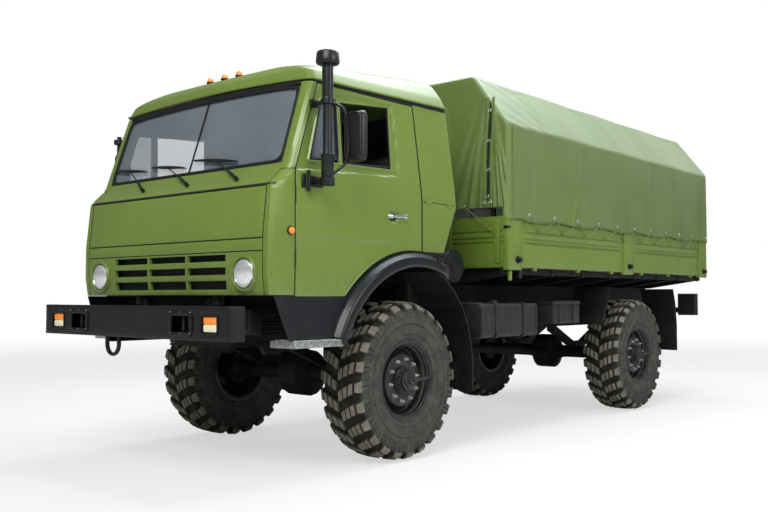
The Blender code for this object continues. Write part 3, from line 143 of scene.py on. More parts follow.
def roundRect(halfWide, halfHigh, radius, steps=4):
    # a rectangle about 0, 0 with arcs of steps + 1 points at its corners, anticlockwise
    arc = np.linspace(0, tau / 4, steps + 1)
    x, y = halfWide - radius, halfHigh - radius
    return np.vstack([np.stack([a + radius * np.cos(arc + start), b + radius * np.sin(arc + start)], axis=1)
                      for a, b, start in ((x, y, 0), (-x, y, tau / 4), (-x, -y, tau / 2), (x, -y, 3 * tau / 4))])


def stood(ring, x, y, z):
    # a ring of (side, up) points stood upright across the truck about x, y, z
    return np.column_stack([ring[:, 0] + x, np.full(len(ring), y), ring[:, 1] + z])


def strip(halfWide, high):
    return roundRect(halfWide, high, min(halfWide, high) * 0.9, 2)


def block(low, high, edge=0.004, steps=2):
    # a box with rounded upright edges, and its two ends drawn in by the same edge
    low, high = np.array(low, float), np.array(high, float)
    half = (high - low) / 2
    edge = min(edge, half.min() * 0.95)
    rings = []
    for angle in np.linspace(0, tau / 4, steps + 1):
        inset = edge * (1 - math.sin(angle))
        ring = roundRect(half[0] - inset, half[1] - inset, max(edge - inset, 1e-4), steps)
        rings.append(np.column_stack([ring, np.full(len(ring), -half[2] + edge * (1 - math.cos(angle)))]))
    rings += [ring * np.array([1, 1, -1]) for ring in rings[::-1]]
    return skin(np.array(rings) + (low + high) / 2, wrapV=True, capU=True)


def blocks(*rows):  # each row: low and high x, y and z, then block()'s edge and steps
    return joined([block(row[0:6:2], row[1:6:2], *row[6:]) for row in rows])


def addPiece(name, form, material, body, replaced=(), sharp=35):
    # the form as one object at the origin; an angle over sharp degrees stays an edge
    mesh = bpy.data.meshes.new(name)
    mesh.from_pydata(form.points.tolist(), [], form.faces)
    mesh.attributes.new("place", "FLOAT_VECTOR", "POINT").data.foreach_set("vector", form.place.ravel())
    shape = bmesh.new()
    shape.from_mesh(mesh)
    bmesh.ops.remove_doubles(shape, verts=shape.verts, dist=2e-6)
    bmesh.ops.recalc_face_normals(shape, faces=shape.faces)
    shape.to_mesh(mesh)
    shape.free()
    mesh.shade_smooth()
    mesh.set_sharp_from_angle(angle=math.radians(sharp))
    made = bpy.data.objects.new(name, mesh)
    mesh.materials.append(material)
    bpy.context.scene.collection.objects.link(made)
    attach(made, body)
    if replaced:
        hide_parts(*replaced)
    return made


def addPair(name, form, material, body, replaced=(), sharp=35):
    # the form on the left and its mirror image on the right; * in a name stands for the side
    for side, made in (("left", form), ("right", form.mirrored())):
        addPiece(name.replace("*", side), made, material, body.replace("*", side),
                 [node.replace("*", side) for node in replaced], sharp)


# materials


class Wire:  # a node's output, with Python's operators for its maths
    def __init__(self, paint, socket):
        self.paint = paint
        self.socket = socket

    def math(self, operation, *others):
        return self.paint.node("ShaderNodeMath", {"operation": operation}, [self, *others])

    def __add__(self, other):
        return self.math("ADD", other)

    def __sub__(self, other):
        return self.math("SUBTRACT", other)

    def __rsub__(self, other):
        return self.paint.node("ShaderNodeMath", {"operation": "SUBTRACT"}, [other, self])

    def __mul__(self, other):
        return self.math("MULTIPLY", other)

    def __truediv__(self, other):
        return self.math("DIVIDE", other)

    __radd__ = __add__
    __rmul__ = __mul__

    def between(self, low, high):  # 0 below low, 1 above high, smooth between
        return self.paint.node("ShaderNodeMapRange", {"interpolation_type": "SMOOTHSTEP"},
                               {"Value": self, "From Min": low, "From Max": high})


class Paint:
    def __init__(self, name):
        self.material = bpy.data.materials.new(name)
        self.material.use_nodes = True
        self.tree = self.material.node_tree
        self.shader = self.tree.nodes["Principled BSDF"]

    def feed(self, socket, value):
        if isinstance(value, Wire):
            self.tree.links.new(value.socket, socket)
        elif value is not None:
            socket.default_value = value

    def node(self, kind, settings=None, inputs=None, output=0):
        made = self.tree.nodes.new(kind)
        for key, value in (settings or {}).items():
            setattr(made, key, value)
        pairs = inputs.items() if isinstance(inputs, dict) else enumerate(inputs or [])
        for key, value in pairs:
            self.feed(made.inputs[key], value)
        return Wire(self, made.outputs[output])

    def place(self, attribute=None):
        if attribute:
            return self.node("ShaderNodeAttribute", {"attribute_name": attribute}, output="Vector")
        return self.node("ShaderNodeTexCoord", output="Object")

    def axes(self, vector):
        split = self.tree.nodes.new("ShaderNodeSeparateXYZ")
        self.feed(split.inputs[0], vector)
        return [Wire(self, socket) for socket in split.outputs]

    def noise(self, vector, scale, detail=3.0, roughness=0.5):
        return self.node("ShaderNodeTexNoise", None,
                         {"Vector": vector, "Scale": scale, "Detail": detail, "Roughness": roughness})

    def mix(self, factor, one, two):  # one and two are wires, or screen colours 0..255
        one, two = (rgb(*tone) if isinstance(tone, tuple) else tone for tone in (one, two))
        return self.node("ShaderNodeMix", {"data_type": "RGBA"}, {0: factor, 6: one, 7: two}, output=2)

    def bump(self, height, distance, strength=1.0):
        return self.node("ShaderNodeBump", None, {"Height": height, "Distance": distance, "Strength": strength})

    def finish(self, **sockets):  # underscores stand for the spaces in the shader's socket names
        for name, value in sockets.items():
            self.feed(self.shader.inputs[name.replace("_", " ")], value)
        return self.material


def rgb(*screen):  # screen colour 0..255 to linear
    value = np.array(screen) / 255
    linear = np.where(value <= 0.04045, value / 12.92, ((value + 0.055) / 1.055) ** 2.4)
    return (*linear.tolist(), 1.0)


paintSettings = {"green": (109, 133, 50), "greenDark": (96, 118, 42), "dust": (150, 146, 118),
                 "roughness": 0.34, "coat": 0.28, "dustTop": 1.75}


def paintGreen():
    paint = Paint("greenPaint")
    at = paint.place()
    z = paint.axes(at)[2]
    broad = paint.noise(at, 1.3, 2.0)
    fine = paint.noise(at, 38.0, 4.0)
    colour = paint.mix(broad.between(0.35, 0.7) * 0.45, paintSettings["green"], paintSettings["greenDark"])
    low = 1 - z.between(1.2, paintSettings["dustTop"])
    dust = (low * 0.25 + 0.03) * paint.noise(at, 9.0, 5.0, 0.65).between(0.42, 0.75)
    colour = paint.mix(dust, colour, paintSettings["dust"])
    rough = paintSettings["roughness"] + 0.10 * broad + 0.30 * dust
    return paint.finish(Base_Color=colour, Roughness=rough, Coat_Weight=paintSettings["coat"], Coat_Roughness=0.2,
                        Normal=paint.bump(fine + 3.0 * broad, 0.0004))


blackSettings = {"black": (11, 12, 14), "worn": (34, 36, 38), "dust": (84, 79, 66)}


def paintBlack(name="blackPaint", roughness=0.42, dusty=0.25, shade=blackSettings["black"]):
    paint = Paint(name)
    at = paint.place()
    z = paint.axes(at)[2]
    broad = paint.noise(at, 3.0, 4.0)
    colour = paint.mix(broad.between(0.55, 0.8) * 0.3, shade, blackSettings["worn"])
    low = 1 - z.between(0.3, 1.3)
    dust = (low * dusty + 0.02) * paint.noise(at, 14.0, 5.0, 0.65).between(0.45, 0.8)
    colour = paint.mix(dust, colour, blackSettings["dust"])
    rough = roughness + 0.15 * broad + 0.3 * dust
    return paint.finish(Base_Color=colour, Roughness=rough, Specular_IOR_Level=0.4,
                        Normal=paint.bump(paint.noise(at, 90.0, 3.0), 0.0005))


def canvasCloth():
    paint = Paint("canvasCloth")
    at = paint.place()
    x, y, z = paint.axes(at)
    weave = (y * 1800.0).math("SINE") * ((z + x) * 1800.0).math("SINE")
    broad = paint.noise(at, 2.2, 4.0)
    colour = paint.mix(broad.between(0.3, 0.75) * 0.5, (98, 121, 56), (83, 105, 43))
    return paint.finish(Base_Color=colour, Roughness=0.36 + 0.14 * broad, Coat_Weight=0.36, Coat_Roughness=0.3,
                        Normal=paint.bump(weave + 2.0 * paint.noise(at, 60.0, 4.0), 0.0003))


plainFinishes = {  # two tones, the noise that mixes them and its range, roughness and its gain, bump, other sockets
    "castIron": ((38, 37, 35), (72, 66, 56), (6.0, 5.0, 0.6), (0.4, 0.7), (0.5, 0.3), (120.0, 4.0, 0.0012),
                 {"Metallic": 0.35}),
    "tyreRubber": ((44, 44, 44), (78, 74, 64), (9.0, 5.0, 0.6), (0.4, 0.75), (0.75, 0.2), (160.0, 4.0, 0.0006),
                   {"Specular_IOR_Level": 0.3}),
    "seatCloth": ((34, 34, 36), (58, 57, 58), (25.0, 5.0), None, (0.85, 0.0), (900.0, 2.0, 0.0006), {}),
    "brightMetal": ((196, 200, 204), (226, 228, 230), (50.0, 3.0), None, (0.12, 0.15), None, {"Metallic": 0.9}),
    "mirrorSilver": ((150, 156, 162), (190, 196, 202), (8.0, 3.0), None, (0.03, 0.05), None, {"Metallic": 1.0}),
    "stepMetal": ((168, 172, 170), (120, 124, 118), (30.0, 5.0, 0.65), (0.35, 0.7), (0.32, 0.3),
                  (260.0, 3.0, 0.0006), {"Metallic": 0.75})}


def plainFinish(name):
    one, two, noise, span, rough, bump, sockets = plainFinishes[name]
    paint = Paint(name)
    at = paint.place()
    broad = paint.noise(at, *noise)
    normal = paint.bump(paint.noise(at, *bump[:2]), bump[2]) if bump else None
    return paint.finish(Base_Color=paint.mix(broad.between(*span) if span else broad, one, two),
                        Roughness=rough[0] + rough[1] * broad, Normal=normal, **sockets)


def windowGlass():
    paint = Paint("windowGlass")
    at = paint.place()
    haze = paint.noise(at, 1.6, 3.0)
    # painted reflection: the pale blue-grey tones stand in for sky reflected in the glass
    colour = paint.mix(haze, (128, 140, 150), (150, 160, 170))
    paint.material.surface_render_method = "BLENDED"
    return paint.finish(Base_Color=colour, Roughness=0.04 + 0.03 * haze, Alpha=0.34 + 0.08 * haze)


def bedPlanks():
    paint = Paint("bedPlanks")
    at = paint.place()
    x, y = paint.axes(at)[:2]
    board = (x / 0.16).math("FLOOR")
    gap = 1 - (x / 0.16).math("FRACT").between(0.0, 0.03)
    grain = paint.noise(paint.node("ShaderNodeCombineXYZ", None, [x * 30.0, y * 1.5, board]), 3.0, 6.0, 0.6)
    colour = paint.mix(grain.between(0.3, 0.7), (96, 100, 62), (124, 120, 84))
    colour = paint.mix(gap, colour, (28, 26, 20))
    return paint.finish(Base_Color=colour, Roughness=0.7 + 0.15 * grain, Normal=paint.bump(grain - gap * 4.0, 0.0012))


def cabTrimAndShade():
    # dark felt and paint inside the cab; the same dark is painted shade in its arches and wherever the shell shows
    # outside, green on the outer back wall
    paint = Paint("cabTrimAndShade")
    at = paint.place()
    y, z = paint.axes(at)[1:]
    felt = paint.noise(at, 60.0, 4.0)
    feltAndShade = paint.mix(felt, (20, 20, 20), (36, 36, 35))
    outer = paint.mix(paint.noise(at, 1.3, 2.0) * 0.45, paintSettings["green"], paintSettings["greenDark"])
    rear = y + 1.475 + (z - 2.07) * 0.15 * z.between(2.069, 2.071)
    back = rear.between(-0.020, -0.012) * z.between(1.55, 1.56)
    return paint.finish(Base_Color=paint.mix(back, feltAndShade, outer), Roughness=0.8 - 0.4 * back,
                        Normal=paint.bump(felt, 0.0004))


green, trimAndShade, black = paintGreen(), cabTrimAndShade(), paintBlack()
canvas, glass, seatFinish = canvasCloth(), windowGlass(), plainFinish("seatCloth")
slotFinish = {"green_paint": green, "black_paint": black, "iron": plainFinish("castIron"), "canvas": canvas,
              "tyre_rubber": plainFinish("tyreRubber"), "seat_cloth": seatFinish, "window_glass": glass,
              "bed_planks": bedPlanks()}
for part in frame["record"]["subparts"]:
    node = frame["nodes"][part["node"]]
    node.data.materials.clear()
    node.data.materials.append(trimAndShade if part["node"] == "cab_shell" else slotFinish[part["material_slot"]])
print("materials done")

# camera, floor and light
view = {"at": (5.679, -7.698, 1.296), "tilt": 0.045, "heading": 0.709, "lens": 893.4 * 36 / 768}
camera = bpy.data.objects.new("camera", bpy.data.cameras.new("camera"))
camera.location = view["at"]
camera.rotation_euler = Euler((math.pi / 2 + view["tilt"], 0.0, view["heading"]), "XYZ")
camera.data.lens = view["lens"]
camera.data.sensor_width = 36
bpy.context.scene.collection.objects.link(camera)
bpy.context.scene.camera = camera
bpy.context.scene.view_settings.view_transform = "Standard"

floorSettings = {"half": 60.0, "pale": (226, 226, 226), "lift": 0.60}


def addFloor():
    half = floorSettings["half"]
    mesh = bpy.data.meshes.new("floor")
    mesh.from_pydata([(-half, -half, 0), (half, -half, 0), (half, half, 0), (-half, half, 0)], [], [(0, 1, 2, 3)])
    floor = bpy.data.objects.new("floor", mesh)
    bpy.context.scene.collection.objects.link(floor)
    paint = Paint("paleFloor")
    x, y = paint.axes(paint.place())[:2]
    far = (x * x + y * y).math("SQRT").between(6.0, 22.0)
    seen = paint.node("ShaderNodeLightPath", output="Is Camera Ray")
    paint.finish(Base_Color=rgb(*floorSettings["pale"]), Roughness=0.9, Specular_IOR_Level=0.1)
    white = paint.node("ShaderNodeEmission", None, {"Strength": 1.0}, output="Emission")
    lift = seen * (far * (1 - floorSettings["lift"]) + floorSettings["lift"])
    made = paint.node("ShaderNodeMixShader", None, [lift, Wire(paint, paint.shader.outputs[0]), white])
    paint.feed(paint.tree.nodes["Material Output"].inputs["Surface"], made)
    mesh.materials.append(paint.material)


addFloor()

worldSettings = {"strength": 0.27, "back": 1.0}
world = bpy.data.worlds.new("world")
bpy.context.scene.world = world
world.use_nodes = True
sky = world.node_tree
rays = sky.nodes.new("ShaderNodeLightPath")
clear = sky.nodes.new("ShaderNodeMath")
clear.operation = "MAXIMUM"
sky.links.new(rays.outputs["Is Camera Ray"], clear.inputs[0])
sky.links.new(rays.outputs["Is Transmission Ray"], clear.inputs[1])
level = sky.nodes.new("ShaderNodeMapRange")
level.inputs["To Min"].default_value = worldSettings["strength"]
level.inputs["To Max"].default_value = worldSettings["back"]
sky.links.new(clear.outputs[0], level.inputs["Value"])
sky.nodes["Background"].inputs["Color"].default_value = (1, 1, 1, 1)
sky.links.new(level.outputs[0], sky.nodes["Background"].inputs["Strength"])

lampSettings = {"key": ((4.0, -9.0, 8.0), 5.0, 750, (1.0, 0.99, 0.97)),
                "side": ((10.0, -1.0, 6.0), 5.0, 360, (0.97, 0.99, 1.0)),
                "top": ((0.0, 2.0, 9.0), 7.0, 1000, (0.88, 0.94, 1.0)),
                "back": ((1.0, 12.5, 8.5), 9.0, 300, (0.92, 0.96, 1.0))}
for name, (at, size, power, tint) in lampSettings.items():
    light = bpy.data.lights.new(name, "AREA")
    light.size = size
    light.color = tint
    light.energy = power
    lamp = bpy.data.objects.new(name, light)
    lamp.location = at
    lamp.rotation_euler = (Vector((0, 0, 1.2)) - Vector(at)).to_track_quat("-Z", "Y").to_euler()
    bpy.context.scene.collection.objects.link(lamp)
print("camera, floor and lamps done")

# wheels and tyres
axles = {"front": -2.175, "rear": 2.025}
tyreSettings = {"trackHalf": 1.005, "centre": 0.63, "pitches": 24, "lug": 0.032, "bevel": 0.005, "draft": 0.007,
                "profile": [(0.0, 0.598), (0.10, 0.596), (0.150, 0.590), (0.172, 0.578), (0.190, 0.552),
                            (0.201, 0.522), (0.2075, 0.500), (0.2105, 0.470), (0.2120, 0.430), (0.2085, 0.385),
                            (0.200, 0.356), (0.193, 0.346), (0.1940, 0.341), (0.1935, 0.335), (0.190, 0.329),
                            (0.186, 0.321), (0.172, 0.318), (0.170, 0.290)]}
treadBlocks = [  # from, to across the tread, widths, how far each end lags round the tyre, height share
    (0.012, 0.048, 0.076, 0.080, 0.092, 0.070, 1.0), (0.061, 0.096, 0.080, 0.082, 0.064, 0.045, 1.0),
    (0.109, 0.144, 0.082, 0.084, 0.039, 0.024, 0.98), (0.157, 0.204, 0.070, 0.098, 0.019, 0.010, 0.95)]
shoulderBars = [(0.196, 0.262, 0.038, 0.030, -0.012, -0.018, 0.80), (0.196, 0.262, 0.038, 0.030, 0.032, 0.024, 0.80)]


def alongProfile(steps=240):
    # the half section resampled evenly by its length: across, radius, and the outward normal
    rows = np.array(tyreSettings["profile"])
    run = np.concatenate([[0], np.cumsum(np.hypot(*np.diff(rows, axis=0).T))])
    s = np.linspace(0, run[-1], steps)
    across, radius = np.interp(s, run, rows[:, 0]), np.interp(s, run, rows[:, 1])
    kernel = np.ones(9) / 9
    across[4:-4], radius[4:-4] = np.convolve(across, kernel, "valid"), np.convolve(radius, kernel, "valid")
    da, dr = np.gradient(across, s), np.gradient(radius, s)
    size = np.hypot(da, dr)
    return s, across, radius, -dr / size, da / size


section = alongProfile()


def onTyre(s, arc, height):
    # s across the tread from its middle, arc round it in metres, height above the carcass; s may be negative
    run, across, radius, na, nr = section
    reach = np.abs(s)
    a = np.interp(reach, run, across) + height * np.interp(reach, run, na)
    r = np.interp(reach, run, radius) + height * np.interp(reach, run, nr)
    angle = arc / tyreSettings["centre"]
    return np.stack([np.sign(s + 1e-12) * a, r * np.cos(angle), r * np.sin(angle)], axis=-1)


def treadBars(start, end, wideIn, wideOut, lagIn, lagOut, share, side, stagger):
    # a bevelled bar lying across the tread, once for each pitch round the tyre
    lug = tyreSettings["lug"] * share
    bevel, draft = tyreSettings["bevel"], tyreSettings["draft"]
    steps = max(2, int((end - start) / 0.018) + 1)
    s = np.concatenate([[start - draft, start], np.linspace(start + bevel, end - bevel, steps), [end, end + draft]])
    top = np.concatenate([[0.0, lug - bevel], np.full(steps, lug), [lug - bevel, 0.0]])
    if start > 0.19:  # a shoulder bar thins out down the side wall
        top *= np.interp(s, [start, 0.225, end], [1.0, 0.75, 0.22])
    ends = np.clip((s - start) / (end - start), 0, 1)
    wide = (wideIn + (wideOut - wideIn) * ends) / 2
    lag = lagIn + (lagOut - lagIn) * ends
    flat = (top > 0).astype(float)
    arc = np.stack([-wide - draft, -wide, -wide + bevel, wide - bevel, wide, wide + draft], axis=1) + lag[:, None]
    height = np.stack([top * 0 - 0.002, top - bevel * flat, top, top, top - bevel * flat, top * 0 - 0.002], axis=1)
    height = np.maximum(height, -0.002)
    pitch = tau * tyreSettings["centre"] / tyreSettings["pitches"]
    arc = arc[None] + (np.arange(tyreSettings["pitches"]) + stagger)[:, None, None] * pitch
    sAll = np.broadcast_to(side * s[None, :, None], arc.shape)
    hAll = np.broadcast_to(height[None], arc.shape)
    form = skins(onTyre(sAll, arc, hAll), wrapV=True, capU=True)
    form.place = np.stack([hAll, sAll, arc], axis=-1).reshape(-1, 3)
    return form


def tyreForm():
    # the carcass is the section turned once round, inside included; the blocks stand on it
    rows = tyreSettings["pitches"] * 6
    s = np.linspace(0, section[0][-1], 64)
    s = np.concatenate([-s[::-1], s[1:]])
    arc = np.arange(rows) * tau * tyreSettings["centre"] / rows
    carcass = onTyre(np.broadcast_to(s, (rows, len(s))), np.broadcast_to(arc[:, None], (rows, len(s))), 0.0)
    form = skin(carcass, wrapU=True, wrapV=True)
    form.place = np.zeros_like(form.points)
    form.place[:, 1] = np.tile(s, rows)
    parts = [form]
    for row in treadBlocks + shoulderBars:
        for side in (1, -1):
            parts.append(treadBars(*row, side, 0.0 if side > 0 else 0.5))
    ring = np.linspace(0, tau, 7)[:-1]
    rib = np.stack([0.0015 * np.cos(ring), 0.0015 * np.sin(ring)], axis=1)
    for side in (1, -1):
        for across, radius in ((0.2075, 0.500), (0.2125, 0.447), (0.2035, 0.367)):
            profile = np.column_stack([side * across + rib[:, 0], radius + rib[:, 1]])
            thin = lathe(np.vstack([profile, profile[:1]]), rows // 2)
            thin.place = np.zeros_like(thin.points)
            parts.append(thin)
    return joined(parts)


wheelSettings = {"discFace": 0.135, "nuts": 10, "nutCircle": 0.166}


def wheelForm():
    # the rim and disc are one profile turned about the axle; nuts, studs and the hub stand on it
    face = wheelSettings["discFace"]
    rim = [(face - 0.004, 0.100), (face, 0.112), (face, 0.196), (face - 0.003, 0.206), (face - 0.010, 0.213),
           (0.09, 0.222), (0.066, 0.238), (0.060, 0.258), (0.068, 0.268), (0.120, 0.2695), (0.128, 0.273),
           (0.132, 0.281), (0.158, 0.2835), (0.163, 0.289), (0.168, 0.298), (0.180, 0.301), (0.1835, 0.305),
           (0.1845, 0.313), (0.1905, 0.3155), (0.1930, 0.320), (0.1920, 0.3245), (0.1860, 0.3265), (0.1780, 0.321),
           (0.1712, 0.312), (0.1705, 0.2898), (-0.1705, 0.2898),
           (-0.1712, 0.315), (-0.1780, 0.319), (-0.1850, 0.316), (-0.1855, 0.300), (-0.178, 0.276),
           (-0.15, 0.2665), (0.03, 0.2650), (0.046, 0.256), (0.05, 0.235), (0.08, 0.211), (0.118, 0.202),
           (0.123, 0.19), (0.123, 0.12), (0.02, 0.118), (0.018, 0.0618), (face - 0.004, 0.0618)]
    parts = [lathe(rim + rim[:1], 96)]
    hub = [(face - 0.01, 0.0618), (face - 0.01, 0.108), (face + 0.012, 0.108), (face + 0.016, 0.102),
           (face + 0.030, 0.099), (face + 0.036, 0.082), (0.195, 0.078), (0.200, 0.060), (0.212, 0.056),
           (0.215, 0.050), (0.215, 0.030), (0.228, 0.027), (0.230, 0.020)]
    parts.append(lathe(hub, 48))
    valve = [(face - 0.06, 0.006), (face - 0.02, 0.006)]
    parts.append(lathe(valve, 10).moved(y=0.235))
    return joined(parts)


def ringOf(form, count, radius, start=0.0):
    # copies of a form at even angles round the axle
    angle = start + np.arange(count) * tau / count
    c, s = np.cos(angle)[:, None], np.sin(angle)[:, None]
    x, y, z = form.points.T
    y = y + radius
    spun = np.stack([np.broadcast_to(x, (count, len(x))), y * c - z * s, y * s + z * c], axis=-1)
    faces = [[i + k * len(x) for i in face] for k in range(count) for face in form.faces]
    return Form(spun.reshape(-1, 3), faces, np.tile(form.place, (count, 1)))


def nutForm():
    face = wheelSettings["discFace"]
    nut = lathe([(face - 0.002, 0.0140), (face + 0.017, 0.0140), (face + 0.021, 0.011)], 6)
    washer = lathe([(face - 0.002, 0.0175), (face + 0.004, 0.0160)], 16)
    stud = lathe([(face, 0.009), (face + 0.030, 0.009), (face + 0.032, 0.007)], 10)
    return joined([nut, washer, stud])


def hubBits():
    # small bolts round the hub's cover, and the air hose's arm out to the rim
    bolt = lathe([(0.165, 0.009), (0.178, 0.009), (0.180, 0.006)], 6)
    small = lathe([(0.205, 0.006), (0.2195, 0.006)], 6)
    along = np.linspace(0.02, 0.286, 40)
    height = np.interp(along, [0.02, 0.07, 0.15, 0.286], [0.226, 0.226, 0.212, 0.186])
    beads = 0.0085 + 0.0045 * (np.sin(along * 150) > 0.2)
    beads[along < 0.07] = 0.013
    arm = tube(np.column_stack([height, along, along * 0.03]), 1.0, 12, up=sideways, scale=beads)
    return joined([ringOf(bolt, 16, 0.088), ringOf(small, 6, 0.040), arm])


def wheelPaint():
    paint = Paint("wheelBlack")
    at = paint.place("place")
    broad = paint.noise(at, 12.0, 5.0, 0.6)
    y, z = paint.axes(at)[1:]
    radius = (y * y + z * z).math("SQRT")
    dust = radius.between(0.2, 0.29) * broad.between(0.4, 0.7) * 0.35
    colour = paint.mix(dust, (30, 31, 33), (92, 86, 70))
    return paint.finish(Base_Color=colour, Roughness=0.34 + 0.35 * dust + 0.12 * broad, Specular_IOR_Level=0.45,
                        Normal=paint.bump(paint.noise(at, 120.0, 3.0), 0.0004))


def nutSteel():
    paint = Paint("nutSteel")
    at = paint.place("place")
    rust = paint.noise(at, 60.0, 5.0, 0.6).between(0.5, 0.72)
    colour = paint.mix(rust, (176, 174, 160), (110, 98, 76))
    return paint.finish(Base_Color=colour, Roughness=0.34 + 0.4 * rust, Metallic=0.55 - 0.4 * rust)


def treadRubber():
    paint = Paint("treadRubber")
    height, across = paint.axes(paint.place("place"))[:2]
    at = paint.place()
    broad = paint.noise(at, 11.0, 5.0, 0.62)
    fine = paint.noise(at, 220.0, 4.0)
    wall = paint.mix(broad.between(0.35, 0.75), (58, 58, 56), (80, 78, 70))
    worn = height.between(0.024, 0.031)
    top = paint.mix(broad.between(0.3, 0.7), (124, 120, 106), (98, 95, 84))
    # painted shade: darker at the floor of the grooves between the blocks
    deep = 1 - height.between(0.001, 0.016)
    inTread = 1 - across.math("ABSOLUTE").between(0.19, 0.215)
    # painted highlight: a lighter ring on the blocks' bevelled edges
    edge = height.between(0.0245, 0.027) * (1 - height.between(0.0285, 0.0305))
    colour = paint.mix(worn * (0.55 + 0.45 * inTread), wall, top)
    colour = paint.mix(edge * 0.55, colour, (128, 122, 98))
    colour = paint.mix(deep * inTread, colour, paint.mix(broad.between(0.4, 0.7), (22, 21, 18), (46, 43, 35)))
    rough = 0.78 + 0.16 * fine
    return paint.finish(Base_Color=colour, Roughness=rough, Specular_IOR_Level=0.35,
                        Normal=paint.bump(fine + 2.0 * broad, 0.0008))


wheelFinish, nutFinish, treadFinish = wheelPaint(), nutSteel(), treadRubber()
tyreShape, wheelShape = tyreForm(), wheelForm()
nutShape = ringOf(nutForm(), wheelSettings["nuts"], wheelSettings["nutCircle"], 0.16)
hubShape = hubBits()
for end, axle in axles.items():
    for shape, piece, material, slot, replaced, sharp in (
            (tyreShape, "tread", treadFinish, "tyre_rubber", ["tyre_%s_*" % end], 40),
            (wheelShape, "rim", wheelFinish, "black_paint", ["wheel_%s_*" % end], 40),
            (nutShape, "nuts", nutFinish, "iron", (), 30),
            (hubShape, "hub_fittings", wheelFinish, "black_paint", (), 35)):
        placed = shape.moved(tyreSettings["trackHalf"], axle, tyreSettings["centre"])
        addPair("%s_%s_*" % (piece, end), placed, material, "wheel_%s_*" % end, replaced, sharp)
print("wheels and tyres done")

# the canvas
coverSettings = {"half": 1.2623, "eave": 2.88, "ridgeHalf": 0.873, "ridge": 3.38, "front": -0.801, "rear": 3.975,
                 "sideEdge": 2.00, "frontEdge": 2.12, "corner": 0.035, "thickness": 0.003, "sag": 0.010,
                 "frontDepth": 1.7, "columns": 221, "backRows": 150, "frontRows": 31,
                 "bows": (-0.754, 0.430, 1.614, 2.798, 3.940),
                 "folds": ((0.56, -0.16, 0.030, 0.0210), (1.42, 0.05, 0.05, 0.006), (2.20, -0.05, 0.035, 0.0135),
                           (2.95, 0.04, 0.06, 0.006), (3.78, -0.12, 0.030, 0.018), (-0.45, 0.06, 0.05, 0.009)),
                 "frontFolds": ((1.085, 0.02, 0.010, 0.008), (1.095, 0.08, 0.014, 0.015), (1.10, 0.14, 0.013, 0.015),
                                (1.11, 0.19, 0.010, 0.009), (0.995, -0.05, 0.010, 0.008), (0.99, -0.17, 0.020, 0.012),
                                (0.98, -0.30, 0.035, 0.013), (0.90, -0.42, 0.05, 0.008), (0.55, -0.10, 0.06, 0.006),
                                (0.25, 0.03, 0.07, 0.005))}


def slab(points, thickness):
    # a grid of points as a closed thin sheet: the same grid again, set in along its normals
    du, dv = np.gradient(points, axis=0), np.gradient(points, axis=1)
    normal = np.cross(du, dv)
    normal /= np.maximum(np.linalg.norm(normal, axis=-1, keepdims=True), 1e-12)
    rows, cols = points.shape[:2]
    layers = np.stack([points, points - normal * thickness])
    index = np.arange(2 * rows * cols).reshape(2, rows, cols)
    out, inn = index
    faces = [skin(points).faces, [[i + rows * cols for i in face[::-1]] for face in skin(points).faces]]
    for a, b in ((out[0], inn[0]), (inn[-1], out[-1]), (inn[:, 0], out[:, 0]), (out[:, -1], inn[:, -1])):
        faces.append(np.stack([a[:-1], a[1:], b[1:], b[:-1]], axis=-1).tolist())
    return Form(layers.reshape(-1, 3), [face for group in faces for face in group])


def rounded(corners, radius, steps=6, closed=False):
    # a line of (a, b) corners, each inner corner swapped for an arc that starts radius from it
    corners = np.array(corners, float)
    if closed:
        corners = np.vstack([corners[-1:], corners, corners[:1]])
    line = []
    for before, corner, after in zip(corners[:-2], corners[1:-1], corners[2:]):
        a = corner + (before - corner) / np.linalg.norm(before - corner) * radius
        b = corner + (after - corner) / np.linalg.norm(after - corner) * radius
        t = np.linspace(0, 1, steps)[:, None]
        line += list((1 - t) ** 2 * a + 2 * t * (1 - t) * corner + t * t * b)
    return np.array(line if closed else [corners[0]] + line + [corners[-1]])


def evenly(line, count):
    # count points along a line of corners, evenly by its length
    line = np.asarray(line, float)
    run = np.concatenate([[0], np.cumsum(np.linalg.norm(np.diff(line, axis=0), axis=1))])
    s = np.linspace(0, run[-1], count)
    return np.stack([np.interp(s, run, values) for values in line.T], axis=1)


def smooth(values):  # 0 to 1, eased at both ends
    t = np.clip(values, 0, 1)
    return t * t * (3 - 2 * t)


def hill(values, middle, width):  # 1 at the middle, falling to 0 beside it
    return np.exp(-((values - middle) / width) ** 2)


